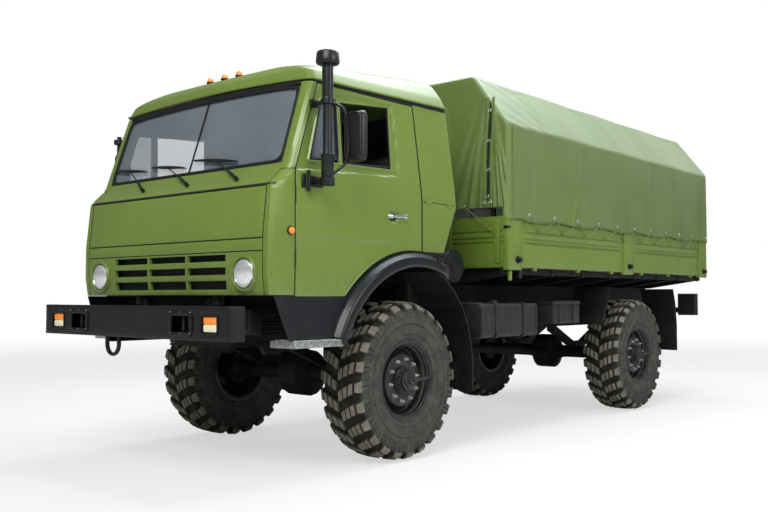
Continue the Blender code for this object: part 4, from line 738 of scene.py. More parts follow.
def canvasForm():
    c = coverSettings
    side = [(c["half"], c["sideEdge"]), (c["half"], c["eave"]), (c["ridgeHalf"], c["ridge"])]
    over = evenly(rounded(side + [(-x, z) for x, z in side[::-1]], 0.022), c["columns"])
    share = np.linspace(-1, 1, c["columns"])

    def upright(line, y):
        return np.column_stack([line[:, 0], np.full(c["columns"], y), line[:, 1]])

    # the front: the line over the top is drawn down to the lower front edge, with a rounded corner first
    foot = np.column_stack([-share * (c["half"] - c["corner"]), np.full(c["columns"], c["frontEdge"])])
    toMiddle = np.array([0.0, 2.6]) - over
    toMiddle /= np.linalg.norm(toMiddle, axis=1, keepdims=True)
    start = over + toMiddle * c["corner"]
    rows = [upright(start + (foot - start) * t, c["front"]) for t in np.linspace(1, 0, c["frontRows"])[:-1]]
    for angle in np.linspace(0, tau / 4, 5)[:-1]:
        rows.append(upright(over + toMiddle * (c["corner"] * (1 - math.sin(angle))),
                            c["front"] + c["corner"] * (1 - math.cos(angle))))
    rows += [upright(over, y) for y in np.linspace(c["front"] + c["corner"], c["rear"] - 0.001, c["backRows"])]
    points = np.array(rows)
    x, y, z = points[..., 0], points[..., 1], points[..., 2]
    # between the bows the cloth sags
    near = np.abs(y[..., None] - np.array(c["bows"])).min(axis=-1)
    sag = c["sag"] * (1 - np.clip(1 - near / 0.59, 0, 1) ** 0.7)
    behind = np.clip((y - c["front"]) / 0.1, 0, 1)
    onSide, onTop = z < 2.86, np.abs(x) < 0.9
    out = -sag * behind * np.clip((z - 2.2) / 0.7, 0.25, 1)
    # long folds hang from the eave: each leans, widens downward and stands out most near the lower edge
    down = np.clip((2.88 - z) / 0.88, 0, 1)
    for place, lean, width, high in c["folds"]:
        middle = place + lean * down
        out = out + onSide * high * down ** 0.8 * hill(y, middle, width * (0.6 + 0.7 * down))
        out = out - onSide * 0.6 * high * down * hill(y, middle + 2.2 * width, width * 1.3)
    out = out + onSide * 0.0022 * down * np.sin(y * 17 + 3 * np.sin(y * 2.3 + z)) * behind
    # puckers along the seam at the front corner, creases that run back from it over the slope, and the hem
    pucker = hill(y, c["front"] + 0.07, 0.035)
    out = out + onSide * pucker * (0.003 * np.sin(z * 190 + 2 * np.sin(z * 23)) + 0.003)
    crease = hill(y, c["front"], 0.7) * behind * (~onSide & ~onTop)
    out = out + crease * 0.0026 * np.sin((y * 2.2 + (z - 2.88) * 5.0) * 9 + 2 * np.sin(z * 9) + np.sin(y * 5))
    out = out + np.clip((c["sideEdge"] + 0.035 - z) / 0.01, 0, 1) * onSide * 0.002
    outward = np.stack([np.sign(x) * np.where(onSide, 1.0, np.where(onTop, 0.0, 0.79)), x * 0,
                        np.where(onSide, 0.0, np.where(onTop, 1.0, 0.61))], axis=-1)
    points = points + outward * (out * (y > c["front"] + 0.001))[..., None]
    # the front hangs in deep upright folds beside its slit and lies flat at the middle
    atFront = np.clip((c["front"] + 0.012 - y) / 0.012, 0, 1)
    hang = np.clip((3.25 - z) / 0.9, 0, 1)
    ripple = sum(high * hill(np.abs(x), place + lean * (3.05 - z), width * (0.6 + 0.9 * (3.1 - z)))
                 for place, lean, width, high in c["frontFolds"])
    points[..., 1] -= atFront * hang * ripple * np.clip((c["half"] - np.abs(x)) / 0.03, 0, 1) * c["frontDepth"]
    points[..., 2] += 0.012 * np.sin(y * 7.1 + 0.6) * np.clip((2.03 - z) / 0.03, 0, 1) * behind
    return slab(points, c["thickness"])


cover = addPiece("canvas", canvasForm(), canvas, "chassis", ["canvas_cover"], 60)
print("canvas done")

# the cab's panels
foreAxle = axles["front"]
cabSettings = {"proud": 0.004, "corner": 0.05, "plate": 0.018, "rim": 0.005,
               "height": (1.28, 1.30, 1.45, 1.70, 2.07, 2.20, 2.86, 2.95),
               "half": (1.163, 1.165, 1.17, 1.17, 1.17, 1.17, 1.145, 1.105),
               "front": (-1.417, -1.42, -1.44, -1.44, -1.403, -1.265, -1.045, -1.02),
               "back": (0.70, 0.70, 0.70, 0.70, 0.70, 0.68, 0.58, 0.575),
               "archCentre": (0.10, 0.60), "archRadius": 1.062}
doorSettings = {"front": -1.213, "pillar": -0.977, "rear": 0.202, "rearTop": 0.106, "sill": 1.294, "belt": 2.19,
                "top": 2.838, "windowFront": (-1.079, -0.95), "windowRear": (-0.180, -0.198),
                "windowLow": (2.268, 2.292), "windowHigh": (2.722, 2.777), "crease": (1.700, 1.713)}
cabHeights = np.linspace(cabSettings["height"][0], cabSettings["height"][-1], 418)


def softened(values):
    line = np.interp(cabHeights, cabSettings["height"], values)
    line[3:-3] = np.convolve(line, np.ones(7) / 7, "valid")
    return line


cabHalf, cabFront, cabBack = (softened(cabSettings[key]) for key in ("half", "front", "back"))


def cabAt(z, line):
    return np.interp(z, cabHeights, line)


def wrapped(s, z, half, front, corner):
    # s runs over a front from its middle and on round the corner along the side; z is the height
    reach = np.abs(s)
    flat = half - corner
    angle = np.clip((reach - flat) / corner, 0, tau / 4)
    along = np.maximum(reach - flat - corner * tau / 4, 0)
    x = np.minimum(reach, flat) + corner * np.sin(angle)
    return np.stack([np.sign(s) * x, front + corner * (1 - np.cos(angle)) + along, z], axis=-1)


def aroundCab(s, z):
    proud = cabSettings["proud"]
    return wrapped(s, z, cabAt(z, cabHalf) + proud, foreAxle + (cabAt(z, cabFront) - proud), cabSettings["corner"])


def cabSide(y, z):  # y from the front axle
    return np.stack([cabAt(z, cabHalf) + cabSettings["proud"], y + foreAxle, z], axis=-1)


def doorFront(z):
    d = doorSettings
    return np.interp(z, [d["belt"], d["top"]], [d["front"], d["pillar"]])


def doorRear(z):
    return np.interp(z, [2.07, doorSettings["top"]], [doorSettings["rear"], doorSettings["rearTop"]])


def seamReach(z):
    # how far round the cab the corner panel goes before the door's gap
    half, front = cabAt(z, cabHalf) + cabSettings["proud"], cabAt(z, cabFront) - cabSettings["proud"]
    corner = cabSettings["corner"]
    return half - corner + corner * tau / 4 + np.maximum(doorFront(z) - 0.009 - front - corner, 0)


def archTop(y, grow=0.0):
    centre, radius = cabSettings["archCentre"], cabSettings["archRadius"] + grow
    return centre[1] + np.sqrt(np.maximum(radius ** 2 - (y - centre[0]) ** 2, 0))


def lines(stops, step, rim):
    # places from stop to stop no more than step apart, with two more close to each stop for its rounded rim
    made = []
    for low, high in zip(stops[:-1], stops[1:]):
        inner = [low, low + rim * 0.3, low + rim, high - rim, high - rim * 0.3]
        steps = max(1, round((high - low - 2 * rim) / step))
        made += inner[:2] + np.linspace(low + rim, high - rim, steps + 1).tolist() + inner[4:]
    return np.array(made + [stops[-1]])


def grid(across, up, stepA, stepB, rim=None):
    rim = rim or cabSettings["rim"]
    return np.meshgrid(lines(across, stepA, rim), lines(up, stepB, rim))


def cells(grids):  # the middles of a grid's cells
    return [(values[:-1, :-1] + values[1:, 1:]) / 2 for values in grids]


def within(values, low, high):
    return (values > low) & (values < high)


def facing(where, a, b):
    # the surface's unit normal at a, b
    e = 1e-3
    normal = np.cross(where(a + e, b) - where(a - e, b), where(a, b + e) - where(a, b - e))
    return normal / np.linalg.norm(normal, axis=-1, keepdims=True)


def panelForm(where, a, b, keep=None, thick=None, rim=None, relief=None):
    # the surface where(a, b) as a closed pressed plate: cells that keep leaves out are holes, each edge is rounded
    thick = thick or cabSettings["plate"]
    rim = rim or cabSettings["rim"]
    rows, cols = a.shape
    keep = np.ones((rows - 1, cols - 1), bool) if keep is None else keep
    edged = np.pad(keep, 1)
    index = np.arange(rows * cols).reshape(rows, cols)
    runs = []
    for change, start, end in ((edged[1:, 1:-1] != edged[:-1, 1:-1], index[:, :-1], index[:, 1:]),
                               (edged[1:-1, 1:] != edged[1:-1, :-1], index[:-1, :], index[1:, :])):
        runs.append(np.stack([start[change], end[change]], axis=1))
    edges = np.vstack(runs)
    flat = np.stack([a.ravel(), b.ravel()], axis=1)
    tail, span = flat[edges[:, 0]], flat[edges[:, 1]] - flat[edges[:, 0]]
    size = np.maximum((span ** 2).sum(axis=1), 1e-12)
    away = np.full(len(flat), 1.0)
    for group in np.array_split(np.arange(len(flat)), max(1, len(flat) // 2000)):
        offset = flat[group, None] - tail[None]
        t = np.clip((offset * span).sum(axis=-1) / size, 0, 1)
        away[group] = np.sqrt(((offset - t[..., None] * span) ** 2).sum(axis=-1).min(axis=1))
    away = away.reshape(rows, cols)
    depth = rim - np.sqrt(np.maximum(rim ** 2 - np.maximum(rim - away, 0) ** 2, 0))
    if relief is not None:
        depth = depth - relief(a, b) * np.clip(away / rim - 1, 0, 1)
    at, normal = where(a, b), facing(where, a, b)
    front, back = at - normal * depth[..., None], at - normal * thick
    quads = np.stack([index[:-1, :-1], index[:-1, 1:], index[1:, 1:], index[1:, :-1]], axis=-1)[keep]
    walls = np.column_stack([edges, edges[:, ::-1] + rows * cols])
    faces = quads.tolist() + (quads[:, ::-1] + rows * cols).tolist() + walls.tolist()
    place = np.stack([a, b, depth], axis=-1).reshape(-1, 3)
    return Form(np.vstack([front.reshape(-1, 3), back.reshape(-1, 3)]), faces, np.vstack([place, place]))


def warped(nominalA, nominalB, stopsA, stopsB, stepA=0.03, stepB=0.03, rim=None):
    # a grid whose nominal lines bend to the real edges: a stop is a place, or a line that gives it
    A, B = grid(nominalA, nominalB, stepA, stepB, rim)

    def real(stops, values):
        return [line(values) if callable(line) else np.full(values.shape, line) for line in stops]

    b = bent(B, nominalB, real(stopsB, A))
    return A, B, bent(A, nominalA, real(stopsA, b)), b


def bent(values, nominal, real):
    # distances from the nearer stop are kept, so that a rim stays as wide as it was
    moved = np.array(real) - np.array(nominal)[:, None, None]
    out = values.copy()
    for k in range(len(nominal) - 1):
        inside = (values >= nominal[k] - 1e-9) & (values <= nominal[k + 1] + 1e-9)
        share = np.clip((values - nominal[k] - 0.008) / (nominal[k + 1] - nominal[k] - 0.016), 0, 1)
        out = np.where(inside, values + moved[k] * (1 - share) + moved[k + 1] * share, out)
    return out


def sloping(low, high, pair):  # a line through pair at low and high
    return lambda values: np.interp(values, [low, high], pair)


def doorRelief(y, z):
    # the pressed surround sinks 7 mm inside a line round the windows; a crease runs low down; a handle's dish
    inside = np.minimum(np.minimum(z - (2.188 + 0.05 * (y + 1.2)), (-0.078 - 0.12 * (z - 2.244)) - y),
                        2.815 + 0.02 * y - z)
    surround = -0.013 * smooth(inside / 0.014 + 0.5)
    line = z - (1.700 + 0.0096 * (y + 1.213))
    fade = np.clip((0.05 - y) / 0.5, 0, 1)
    crease = -0.007 * hill(line, 0, 0.006) * fade - 0.004 * np.clip(-line / 0.02, 0, 1) * fade
    dish = np.hypot((y + 0.150) / 0.060, (z - 1.916) / 0.050)
    return surround + crease - 0.018 * np.clip(3.0 * (1 - dish), 0, 1)


def doorForm():
    d = doorSettings
    widest = [d["front"], d["windowFront"][0], d["windowRear"][0], d["rear"]]
    stopsA = [doorFront, sloping(2.27, 2.72, d["windowFront"]), sloping(2.29, 2.777, d["windowRear"]), doorRear]
    stopsB = [lambda y: np.maximum(archTop(y), d["sill"]), sloping(d["front"], 0.1, d["crease"]),
              sloping(-1.08, -0.18, d["windowLow"]), sloping(-0.95, -0.198, d["windowHigh"]), d["top"]]
    A, B, y, z = warped(widest, [1.30, 1.70, 2.27, 2.74, d["top"]], stopsA, stopsB, 0.012, 0.012)
    middleA, middleB = cells((A, B))
    hole = within(middleA, *widest[1:3]) & within(middleB, 2.27, 2.74)
    plate = panelForm(cabSide, y, z, ~hole, relief=doorRelief)
    # the post between the two windows
    A, B, y, z = warped([-0.775, -0.73], [2.26, 2.76], [lambda z: -0.775 - 0.02 * (z - 2.27),
                                                        lambda z: -0.732 - 0.035 * (z - 2.27)],
                        [2.262, 2.752], 0.02, 0.05)
    post = panelForm(cabSide, y, z, rim=0.006)
    return joined([plate, post.moved(x=-0.004)])


def surroundForm():
    # the plate about the windscreen, from the top of the service flap to the drip
    edge = sloping(2.235, 2.835, [1.070, 1.060])
    A, B, s, z = warped([-1.21, -1.085, 1.085, 1.21], [2.082, 2.19, 2.235, 2.835, 2.850],
                        [lambda z: -seamReach(z), lambda z: np.where(z > 2.2, -edge(z), -1.085),
                         lambda z: np.where(z > 2.2, edge(z), 1.085), seamReach],
                        [2.082, 2.19, 2.239, lambda s: 2.820 + browRise(s), lambda s: 2.854 + browRise(s)])
    middleA, middleB = cells((A, B))
    hole = (np.abs(middleA) < 1.085) & within(middleB, 2.235, 2.835)
    hole |= (np.abs(middleA) > 1.085) & (middleB < 2.19)
    return panelForm(aroundCab, s, z, ~hole)


def cornerForm():
    return panelForm(aroundCab, *warped([1.089, 1.21], [1.30, 2.186], [1.089, seamReach], [1.303, 2.186], 0.02)[2:])


def quarterForm():
    # below the hinge line the flap's back edge slants forward to a short foot
    low, hinge, top = 1.657, 2.069, 2.855
    y, z = warped([0.0, 0.49], [1.656, hinge, top], [
        lambda z: doorRear(z) + 0.010 + 0.25 * np.maximum(1.70 - z, 0),
        lambda z: np.where(z < 2.06, np.interp(z, [1.65, 2.06], [0.500, 0.682]), cabAt(z, cabBack) - 0.020)],
        [low, hinge, top], 0.02)[2:]
    return panelForm(cabSide, y, z, relief=lambda y, z: -0.007 * hill(z, hinge, 0.005))


def frontPlate(low, high, half):
    return panelForm(aroundCab, *grid([-half, half], [low, high], 0.06, 0.03))


grilleSettings = {"columns": ((-0.694, -0.252), (-0.228, 0.228), (0.252, 0.694)),
                  "rows": ((1.340, 1.404), (1.448, 1.501), (1.545, 1.592))}


def grilleForm():
    g = grilleSettings
    across = [-1.084] + [x for pair in g["columns"] for x in pair] + [1.084]
    up = [1.303] + [z for pair in g["rows"] for z in pair] + [1.606]
    s, z = grid(across, up, 0.05, 0.02, 0.004)
    x, high = cells((s, z))
    inX = np.any([within(x, *pair) for pair in g["columns"]], axis=0)
    inZ = np.any([within(high, *pair) for pair in g["rows"]], axis=0)
    return panelForm(aroundCab, s, z, ~(inX & inZ), 0.03, 0.004)


roofSettings = {"rings": (  # heights at the front and back, half width, front, back, front and back corner radii
    (2.862, 2.892, 1.149, -1.049, 0.584, 0.06, 0.03), (2.905, 2.94, 1.13, -1.036, 0.582, 0.06, 0.04),
    (2.95, 2.99, 1.108, -1.022, 0.578, 0.07, 0.05), (2.99, 3.105, 1.043, -0.987, 0.562, 0.13, 0.08),
    (3.03, 3.175, 0.872, -0.942, 0.502, 0.20, 0.12), (3.057, 3.214, 0.55, -0.872, 0.382, 0.24, 0.2),
    (3.066, 3.222, 0.25, -0.60, 0.12, 0.2, 0.1)), "browRise": 0.040}


def browRise(x):
    # the roof's front edge stands higher in the middle
    return roofSettings["browRise"] * np.clip(1 - (x / 1.149) ** 2, 0, 1)


def roofForm():
    rows = np.array(roofSettings["rings"])
    fine = np.concatenate([np.linspace(0, 1, 4)[:-1], np.linspace(1, 6, 51)])
    table = np.stack([np.interp(fine, np.arange(7), row) for row in rows.T], axis=1)
    for _ in range(3):
        table[2:-2] = np.stack([np.convolve(row, np.array([1, 2, 3, 2, 1]) / 9, "valid") for row in table.T], axis=1)
    rings = []
    arc = np.linspace(0, tau / 4, 9)
    for low, high, half, front, back, rf, rb in table:
        # one ring: half of the front, the left front corner, left side, half of the back, and its mirror image
        left = [(np.linspace(0, half - rf, 24)[:-1], np.full(23, front)),
                (half - rf + rf * np.sin(arc), front + rf * (1 - np.cos(arc))),
                (np.full(30, half), np.linspace(front + rf, back - rb, 32)[1:-1]),
                (half - rb + rb * np.cos(arc), back - rb + rb * np.sin(arc)),
                (np.linspace(half - rb, 0, 24)[1:], np.full(23, back))]
        x, y = (np.concatenate(values) for values in zip(*left))
        x, y = np.concatenate([x, -x[-2:0:-1]]), np.concatenate([y, y[-2:0:-1]])
        z = low + (high - low) * (y - front) / (back - front)
        z = z + browRise(x) * np.clip(1 - (y - front) / 0.5, 0, 1) * np.interp(low, [2.86, 3.04], [1, 0.25])
        rings.append(np.stack([x, y + foreAxle, z], axis=1))
    rings = np.array(rings)
    middle = rings[:1].mean(axis=1, keepdims=True)
    lining = (rings - middle) * np.array([0.965, 0.965, 0.93]) + middle - np.array([0, 0, 0.008])
    lining[0] = middle[0] + (rings[0] - middle[0]) * np.array([0.965, 0.965, 1.0])
    return skin(np.vstack([lining[::-1], rings]), wrapV=True, capU=True)


def dripLine():
    # the foot of the roof, from the back of one side over the front to the other
    low, high, half, front, back, rf = roofSettings["rings"][0][:6]
    arc = np.linspace(0, tau / 4, 9)
    x = np.concatenate([np.linspace(0, half - rf, 30)[:-1], half - rf + rf * np.sin(arc), np.full(40, half)])
    y = np.concatenate([np.full(29, front), front + rf * (1 - np.cos(arc)),
                        np.linspace(front + rf, back - 0.01, 41)[1:]])
    z = low + (high - low) * (y - front) / (back - front) + browRise(x) * (y < front + 0.07)
    line = np.column_stack([x, y + foreAxle, z])
    return np.vstack([line[::-1] * np.array([-1, 1, 1]), line[1:]])


def dripForm():
    # a gutter's lip carried along the foot of the roof
    return carried(np.array([(-0.004, -0.004), (0.010, -0.006), (0.016, -0.001), (0.016, 0.006), (0.012, 0.006),
                             (0.010, 0.001), (-0.004, 0.004)]), dripLine())


addPair("door_skin_*", doorForm(), green, "door_*", ["door_*"], 30)
cabSkins = joined([surroundForm(), frontPlate(1.612, 1.694, 1.084), both(cornerForm()), both(quarterForm())])
addPiece("cab_skins", cabSkins, green, "cab", (), 30)
addPiece("grille_panel", grilleForm(), green, "cab", ["lower_front_panel"], 30)
addPiece("flap_skin", frontPlate(1.702, 2.060, 1.080), green, "service_flap", ["service_flap"], 30)
addPiece("roof_skin", roofForm(), green, "cab", ["cab_roof"], 40)
addPiece("roof_drip", dripForm(), green, "cab", (), 40)
print("cab panels done")

# seams, glass and what stands on the cab


def sunk(where, line, depth):
    # points of a line on the surface where(a, b), set in by depth, or out where depth is less than 0
    a, b = np.asarray(line, float).T
    return where(a, b) - facing(where, a, b) * depth


def ringOn(corners, radius, count):
    # a closed line of rounded corners as count points, evenly spaced
    line = rounded(corners, radius, closed=True)
    return evenly(np.vstack([line, line[:1]]), count + 1)[:-1]


def seam(where, line, radius=0.0048, depth=0.0056):
    line = np.array(line, float)
    run = np.hypot(*np.diff(line, axis=0).T).sum()
    path = sunk(where, evenly(line, max(4, int(run / 0.02))), depth)
    return tube(path, radius, 8, up=screenUp if abs(path[:, 0]).min() < 1.1 else sideways)


# black rubber for the seals and gaskets; the same black is painted shade in the cab's panel gaps, behind the grille
# and in the canvas slit
rubberAndShadeBlack = paintBlack("sealRubberAndShade", 0.62, 0.05)
def gapShadeForm():
    # painted shade: dark lines in the gaps round the door, up the corner panel and across the front, and a painted
    # shadow under the gutter
    d = doorSettings
    z = np.linspace(d["belt"], d["top"], 12)
    front, rear = d["front"] - 0.004, d["rear"] + 0.004
    around = np.vstack([[(front, 1.295), (front, d["belt"])], np.column_stack([doorFront(z) - 0.004, z]),
                        [(d["pillar"], 2.842), (d["rearTop"] + 0.004, 2.842), (rear, 2.07), (rear, 1.655)]])
    gutterShadow = carried(roundRect(0.006, 0.005, 0.004, 2), dripLine()[-44:-2] - np.array([0.0, 0.0, 0.011]))
    across = [seam(aroundCab, [(-1.083, z), (1.083, z)]) for z in (2.071, 1.698, 1.609)]
    return joined([both(seam(cabSide, around, 0.0062)),
                   both(seam(cabSide, [(0.209, 2.07), (0.209, 1.66)], 0.010, 0.007)),
                   both(seam(cabSide, [(0.110, 2.84), (0.209, 2.07)], 0.010, 0.007)),
                   both(seam(aroundCab, [(1.0865, 2.19), (1.0865, 1.303)])), both(gutterShadow)] + across)
addPiece("cab_seals", gapShadeForm(), rubberAndShadeBlack, "cab", (), 60)

screenSettings = {"low": 2.250, "high": 2.812, "wideLow": 1.060, "wideHigh": 1.050, "corner": 0.085,
                  "gasket": 0.013, "divider": 0.0075}


def screenTop(s):
    return screenSettings["high"] + 0.9 * browRise(s)


def screenLine():
    # round the windscreen: its four rounded corners, with the brow's curve between the upper two
    g = screenSettings
    top = np.linspace(g["wideHigh"], -g["wideHigh"], 41)
    brow = np.column_stack([top, screenTop(top)])
    corners = [(-g["wideLow"], g["low"]), (g["wideLow"], g["low"]), brow[0], brow[-1]]
    corners = rounded(corners, g["corner"], closed=True)
    return np.vstack([corners[:18], brow[4:-4], corners[18:]])


def gasketForm():
    g = screenSettings
    outline = screenLine()
    outline = evenly(np.vstack([outline, outline[:1]]), 260)[:-1]
    top = np.linspace(-1.055, 1.055, 60)
    brow = np.column_stack([top, screenTop(top) + 0.024])
    divide = evenly(np.array([(0.0, g["low"] + 0.005), (0.0, screenTop(0.0) - 0.005)]), 20)
    return joined([carried(strip(wide, high), sunk(aroundCab, line, depth), closed, screenUp)
                   for line, wide, high, depth, closed in ((outline, g["gasket"], 0.009, 0.002, True),
                                                           (brow, 0.018, 0.010, 0.001, False),
                                                           (divide, g["divider"], 0.006, 0.006, False))])


def doorSeals():
    quarter = ringOn([(-1.077, 2.272), (-0.779, 2.300), (-0.792, 2.745), (-0.942, 2.722)], 0.03, 89)
    window = ringOn([(-0.725, 2.272), (-0.186, 2.298), (-0.204, 2.770), (-0.742, 2.740)], 0.012, 89)
    sill = evenly(np.array([(-0.722, 2.280), (-0.190, 2.305)]), 20)
    return joined([carried(strip(wide, high), sunk(cabSide, line, depth), closed, sideways)
                   for line, wide, high, depth, closed in ((quarter, 0.010, 0.010, 0.010, True),
                                                           (window, 0.004, 0.008, 0.012, True),
                                                           (sill, 0.009, 0.012, 0.012, False))])
addPiece("screen_seals", gasketForm(), rubberAndShadeBlack, "cab", (), 50)


def screenGlass():
    s = np.linspace(-1.058, 1.058, 70)
    share = np.linspace(0, 1, 20)[:, None]
    low, high = screenSettings["low"] - 0.003, screenTop(s) + 0.003
    z = low + (high - low) * share
    s = np.broadcast_to(s, z.shape) * (1 - 0.009 * share)
    return panelForm(lambda a, b: aroundCab(a, b) - facing(aroundCab, a, b) * 0.012, s, z, thick=0.006, rim=0.001)


addPiece("screen_glass", screenGlass(), glass, "cab", ["windscreen"], 50)
addPair("door_seals_*", doorSeals(), rubberAndShadeBlack, "door_*", (), 50)

wiperSettings = {"pivots": ((-0.462, 2.135), (0.114, 2.135), (0.700, 2.130)),
                 "blades": (((-1.040, 2.362), (-0.575, 2.318)), ((-0.515, 2.345), (-0.050, 2.300)),
                            ((0.040, 2.350), (0.580, 2.290)))}


def wiperForm():
    # each wiper: a stub on its pivot, an arm bent onto the glass, a bridge and the long rubber
    parts = []
    for pivot, (tail, tip) in zip(wiperSettings["pivots"], wiperSettings["blades"]):
        pivot, tail, tip = np.array(pivot), np.array(tail), np.array(tip)
        middle = (tail + tip) / 2
        stub = np.vstack([sunk(aroundCab, [pivot], -0.004), sunk(aroundCab, [pivot], -0.030)])
        parts.append(tube(evenly(stub, 5), 0.015, 12, up=sideways))
        line = np.vstack([sunk(aroundCab, [at], depth) for at, depth in (
            (pivot, -0.026), (pivot + (middle - pivot) * 0.42, -0.040), (middle, -0.022))])
        size = np.interp(np.arange(24), [0, 9, 10, 23], [1.35, 1.2, 0.62, 0.5])
        parts.append(carried(strip(0.009, 0.006), evenly(rounded(line, 0.03), 24), False, screenUp, size))
        reach = np.linspace(0, 1, 30)
        path = sunk(aroundCab, tail + (tip - tail) * reach[:, None], -0.006)
        bow = 0.35 + 1.6 * np.sin(reach * math.pi) ** 0.7
        parts.append(carried(strip(0.0075, 0.0035), path + np.array([0, -0.008, 0.003]), False, screenUp, bow))
        parts.append(carried(strip(0.004, 0.008), path + np.array([0, 0.002, -0.001]), False, screenUp))
    return joined(parts)


addPiece("wipers", wiperForm(), black, "cab", (), 40)

# lamps


def lampPlastic(name, one, two, glow):
    paint = Paint(name)
    at = paint.place()
    x, y, z = paint.axes(at)
    ribs = ((x + y) * 900.0).math("SINE") * 0.5 + (z * 900.0).math("SINE") * 0.5
    colour = paint.mix(paint.noise(at, 40.0, 2.0), one, two)
    return paint.finish(Base_Color=colour, Roughness=0.22 + 0.1 * paint.noise(at, 30.0), Coat_Weight=0.5,
                        Emission_Color=colour, Emission_Strength=glow, Normal=paint.bump(ribs, 0.0006))


amber = lampPlastic("amberLens", (236, 120, 22), (250, 150, 40), 0.18)
pale = lampPlastic("paleLens", (222, 214, 168), (244, 238, 205), 0.10)


def lensGlass():
    paint = Paint("lampLens")
    x, y, z = paint.axes(paint.place())
    ribs = (x * 520.0).math("SINE") * 0.7 + (z * 160.0).math("SINE") * 0.5
    at = paint.place("place")
    # painted reflection: the lens's lower part is painted near white and its upper part grey; haze breaks up both
    upper = paint.axes(at)[2].between(-0.02, 0.03)
    haze = paint.noise(paint.place(), 22.0, 4.0)
    low = paint.mix(haze, (224, 226, 228), (246, 247, 248))
    high = paint.mix(haze, (138, 138, 136), (172, 172, 170))
    colour = paint.mix(upper * (0.55 + 0.45 * haze), low, high)
    return paint.finish(Base_Color=colour, Roughness=0.08 + 0.12 * haze, Metallic=0.2, Coat_Weight=1.0,
                        Coat_Roughness=0.04, Emission_Color=colour, Emission_Strength=0.12,
                        Normal=paint.bump(ribs, 0.0012))


lens, chrome = lensGlass(), plainFinish("brightMetal")
headlampSettings = {"across": 0.901, "high": 1.455, "front": foreAxle - 1.444}


headlampProfiles = {  # along the lamp's own axis, forwards, and out from it; the lens has no inner line
    "bezel": [(-0.045, 0.106), (-0.002, 0.106), (0.012, 0.108), (0.018, 0.112), (0.018, 0.119), (0.010, 0.126),
              (-0.004, 0.132), (-0.045, 0.133), (-0.045, 0.106)],
    "seal": [(-0.03, 0.101), (0.007, 0.101), (0.010, 0.104), (0.008, 0.107), (-0.03, 0.107), (-0.03, 0.101)],
    "rim": [(-0.03, 0.095), (0.008, 0.095), (0.012, 0.098), (0.009, 0.102), (-0.03, 0.102), (-0.03, 0.095)],
    "lens": [(0.006 + 0.020 * math.cos(a), 0.0958 * math.sin(a)) for a in np.linspace(0, tau / 4, 14)[1:]]
            + [(-0.02, 0.0958)]}


def headlampForm(part):
    h = headlampSettings
    form = lathe([(-along, radius) for along, radius in headlampProfiles[part]], 72, "Y")
    return joined([form.moved(side * h["across"], h["front"], h["high"]) for side in (1, -1)])


for piece, part, material, slot in (
        ("headlamp_bezels", "bezel", green, "green_paint"), ("headlamp_seals", "seal", rubberAndShadeBlack, "black_paint"),
        ("headlamp_rims", "rim", chrome, "iron"), ("headlamp_lenses", "lens", lens, "window_glass")):
    addPiece(piece, headlampForm(part), material, "cab", (), 40)

lampProfiles = {  # along each lamp's axis and out from it: its base, then its lens
    "side": ([(0.0, 0.031), (0.012, 0.030), (0.014, 0.026), (0.004, 0.024)],
             [(0.004, 0.0245), (0.020, 0.024), (0.030, 0.019), (0.036, 0.010)]),
    "roof": ([(0.0, 0.034), (0.010, 0.033), (0.012, 0.028)],
             [(0.010, 0.028), (0.030, 0.026), (0.042, 0.018), (0.046, 0.008)])}


def cabLamps(part):
    side = [(along + 1.172, radius) for along, radius in lampProfiles["side"][part]]
    roof = [lathe(lampProfiles["roof"][part], 24, "Z").moved(x, foreAxle - 0.895, 3.056 - 0.05 * x * x)
            for x in (-0.182, 0.0, 0.182)]
    return joined([both(lathe(side, 24, "X").moved(y=foreAxle - 1.266, z=1.75))] + roof)
addPiece("lamp_bases", cabLamps(0), black, "cab", (), 40)
addPiece("lamp_glows", cabLamps(1), amber, "cab", (), 40)
print("seals, glass, wipers and lamps done")

# bumper, fenders and step
bumperSettings = {"half": 1.18, "front": -3.963, "low": 0.997, "high": 1.229, "corner": 0.05, "back": -3.845,
                  "step": (0.540, 0.752), "lamp": (0.863, 1.043), "holes": (1.042, 1.172)}


def aroundBumper(s, z):
    return wrapped(s, z, bumperSettings["half"], bumperSettings["front"], bumperSettings["corner"])


def bumperForm():
    b = bumperSettings
    front, step, lamp, (low, high) = b["front"], b["step"], b["lamp"], b["holes"]
    reach = b["half"] - b["corner"] + b["corner"] * tau / 4 + b["back"] - front - b["corner"]
    across = [*step, *lamp, reach]
    s, z = grid([-at for at in across[::-1]] + across, [b["low"], low, high, b["high"]], 0.04, 0.03, 0.006)
    x, up = cells((s, z))
    hole = (within(np.abs(x), *step) | within(np.abs(x), *lamp)) & within(up, low, high)
    half, middle = b["half"] - 0.02, sum(step) / 2
    parts = [panelForm(aroundBumper, s, z, ~hole, 0.010, 0.006),
             blocks((-half, half, front + 0.004, b["back"], b["low"] + 0.001, b["low"] + 0.009, 0.003),
                    (-half, half, front + 0.004, b["back"], b["high"] - 0.009, b["high"] - 0.001, 0.003),
                    (-1.10, 1.10, front + 0.090, front + 0.102, b["low"] + 0.01, b["high"] - 0.01, 0.003)),
             both(blocks((middle - 0.012, middle + 0.012, front + 0.02, front + 0.05, low + 0.008, high - 0.008),
                         (*lamp, front + 0.026, front + 0.06, low, high)))]
    # the step's frame, and the lamp's
    for (inner, outer), growX, growZ, corner, ahead, flat in (
            (step, 0.008, 0.006, 0.030, 0.003, (0.016, 0.006)), (lamp, -0.002, -0.002, 0.022, 0.001, (0.007, 0.004))):
        ring = roundRect((outer - inner) / 2 + growX, (high - low) / 2 + growZ, corner, 5)
        path = stood(ring, (inner + outer) / 2, front - ahead, (low + high) / 2)
        parts.append(both(carried(strip(*flat), path, True, forwards)))
    return joined(parts)


def bumperLamps(low, high):
    # the two lenses between two heights, domed a little
    front, middle = bumperSettings["front"], sum(bumperSettings["lamp"]) / 2
    return both(block((middle - 0.068, front + 0.002, low), (middle + 0.068, front + 0.040, high), 0.010, 4))


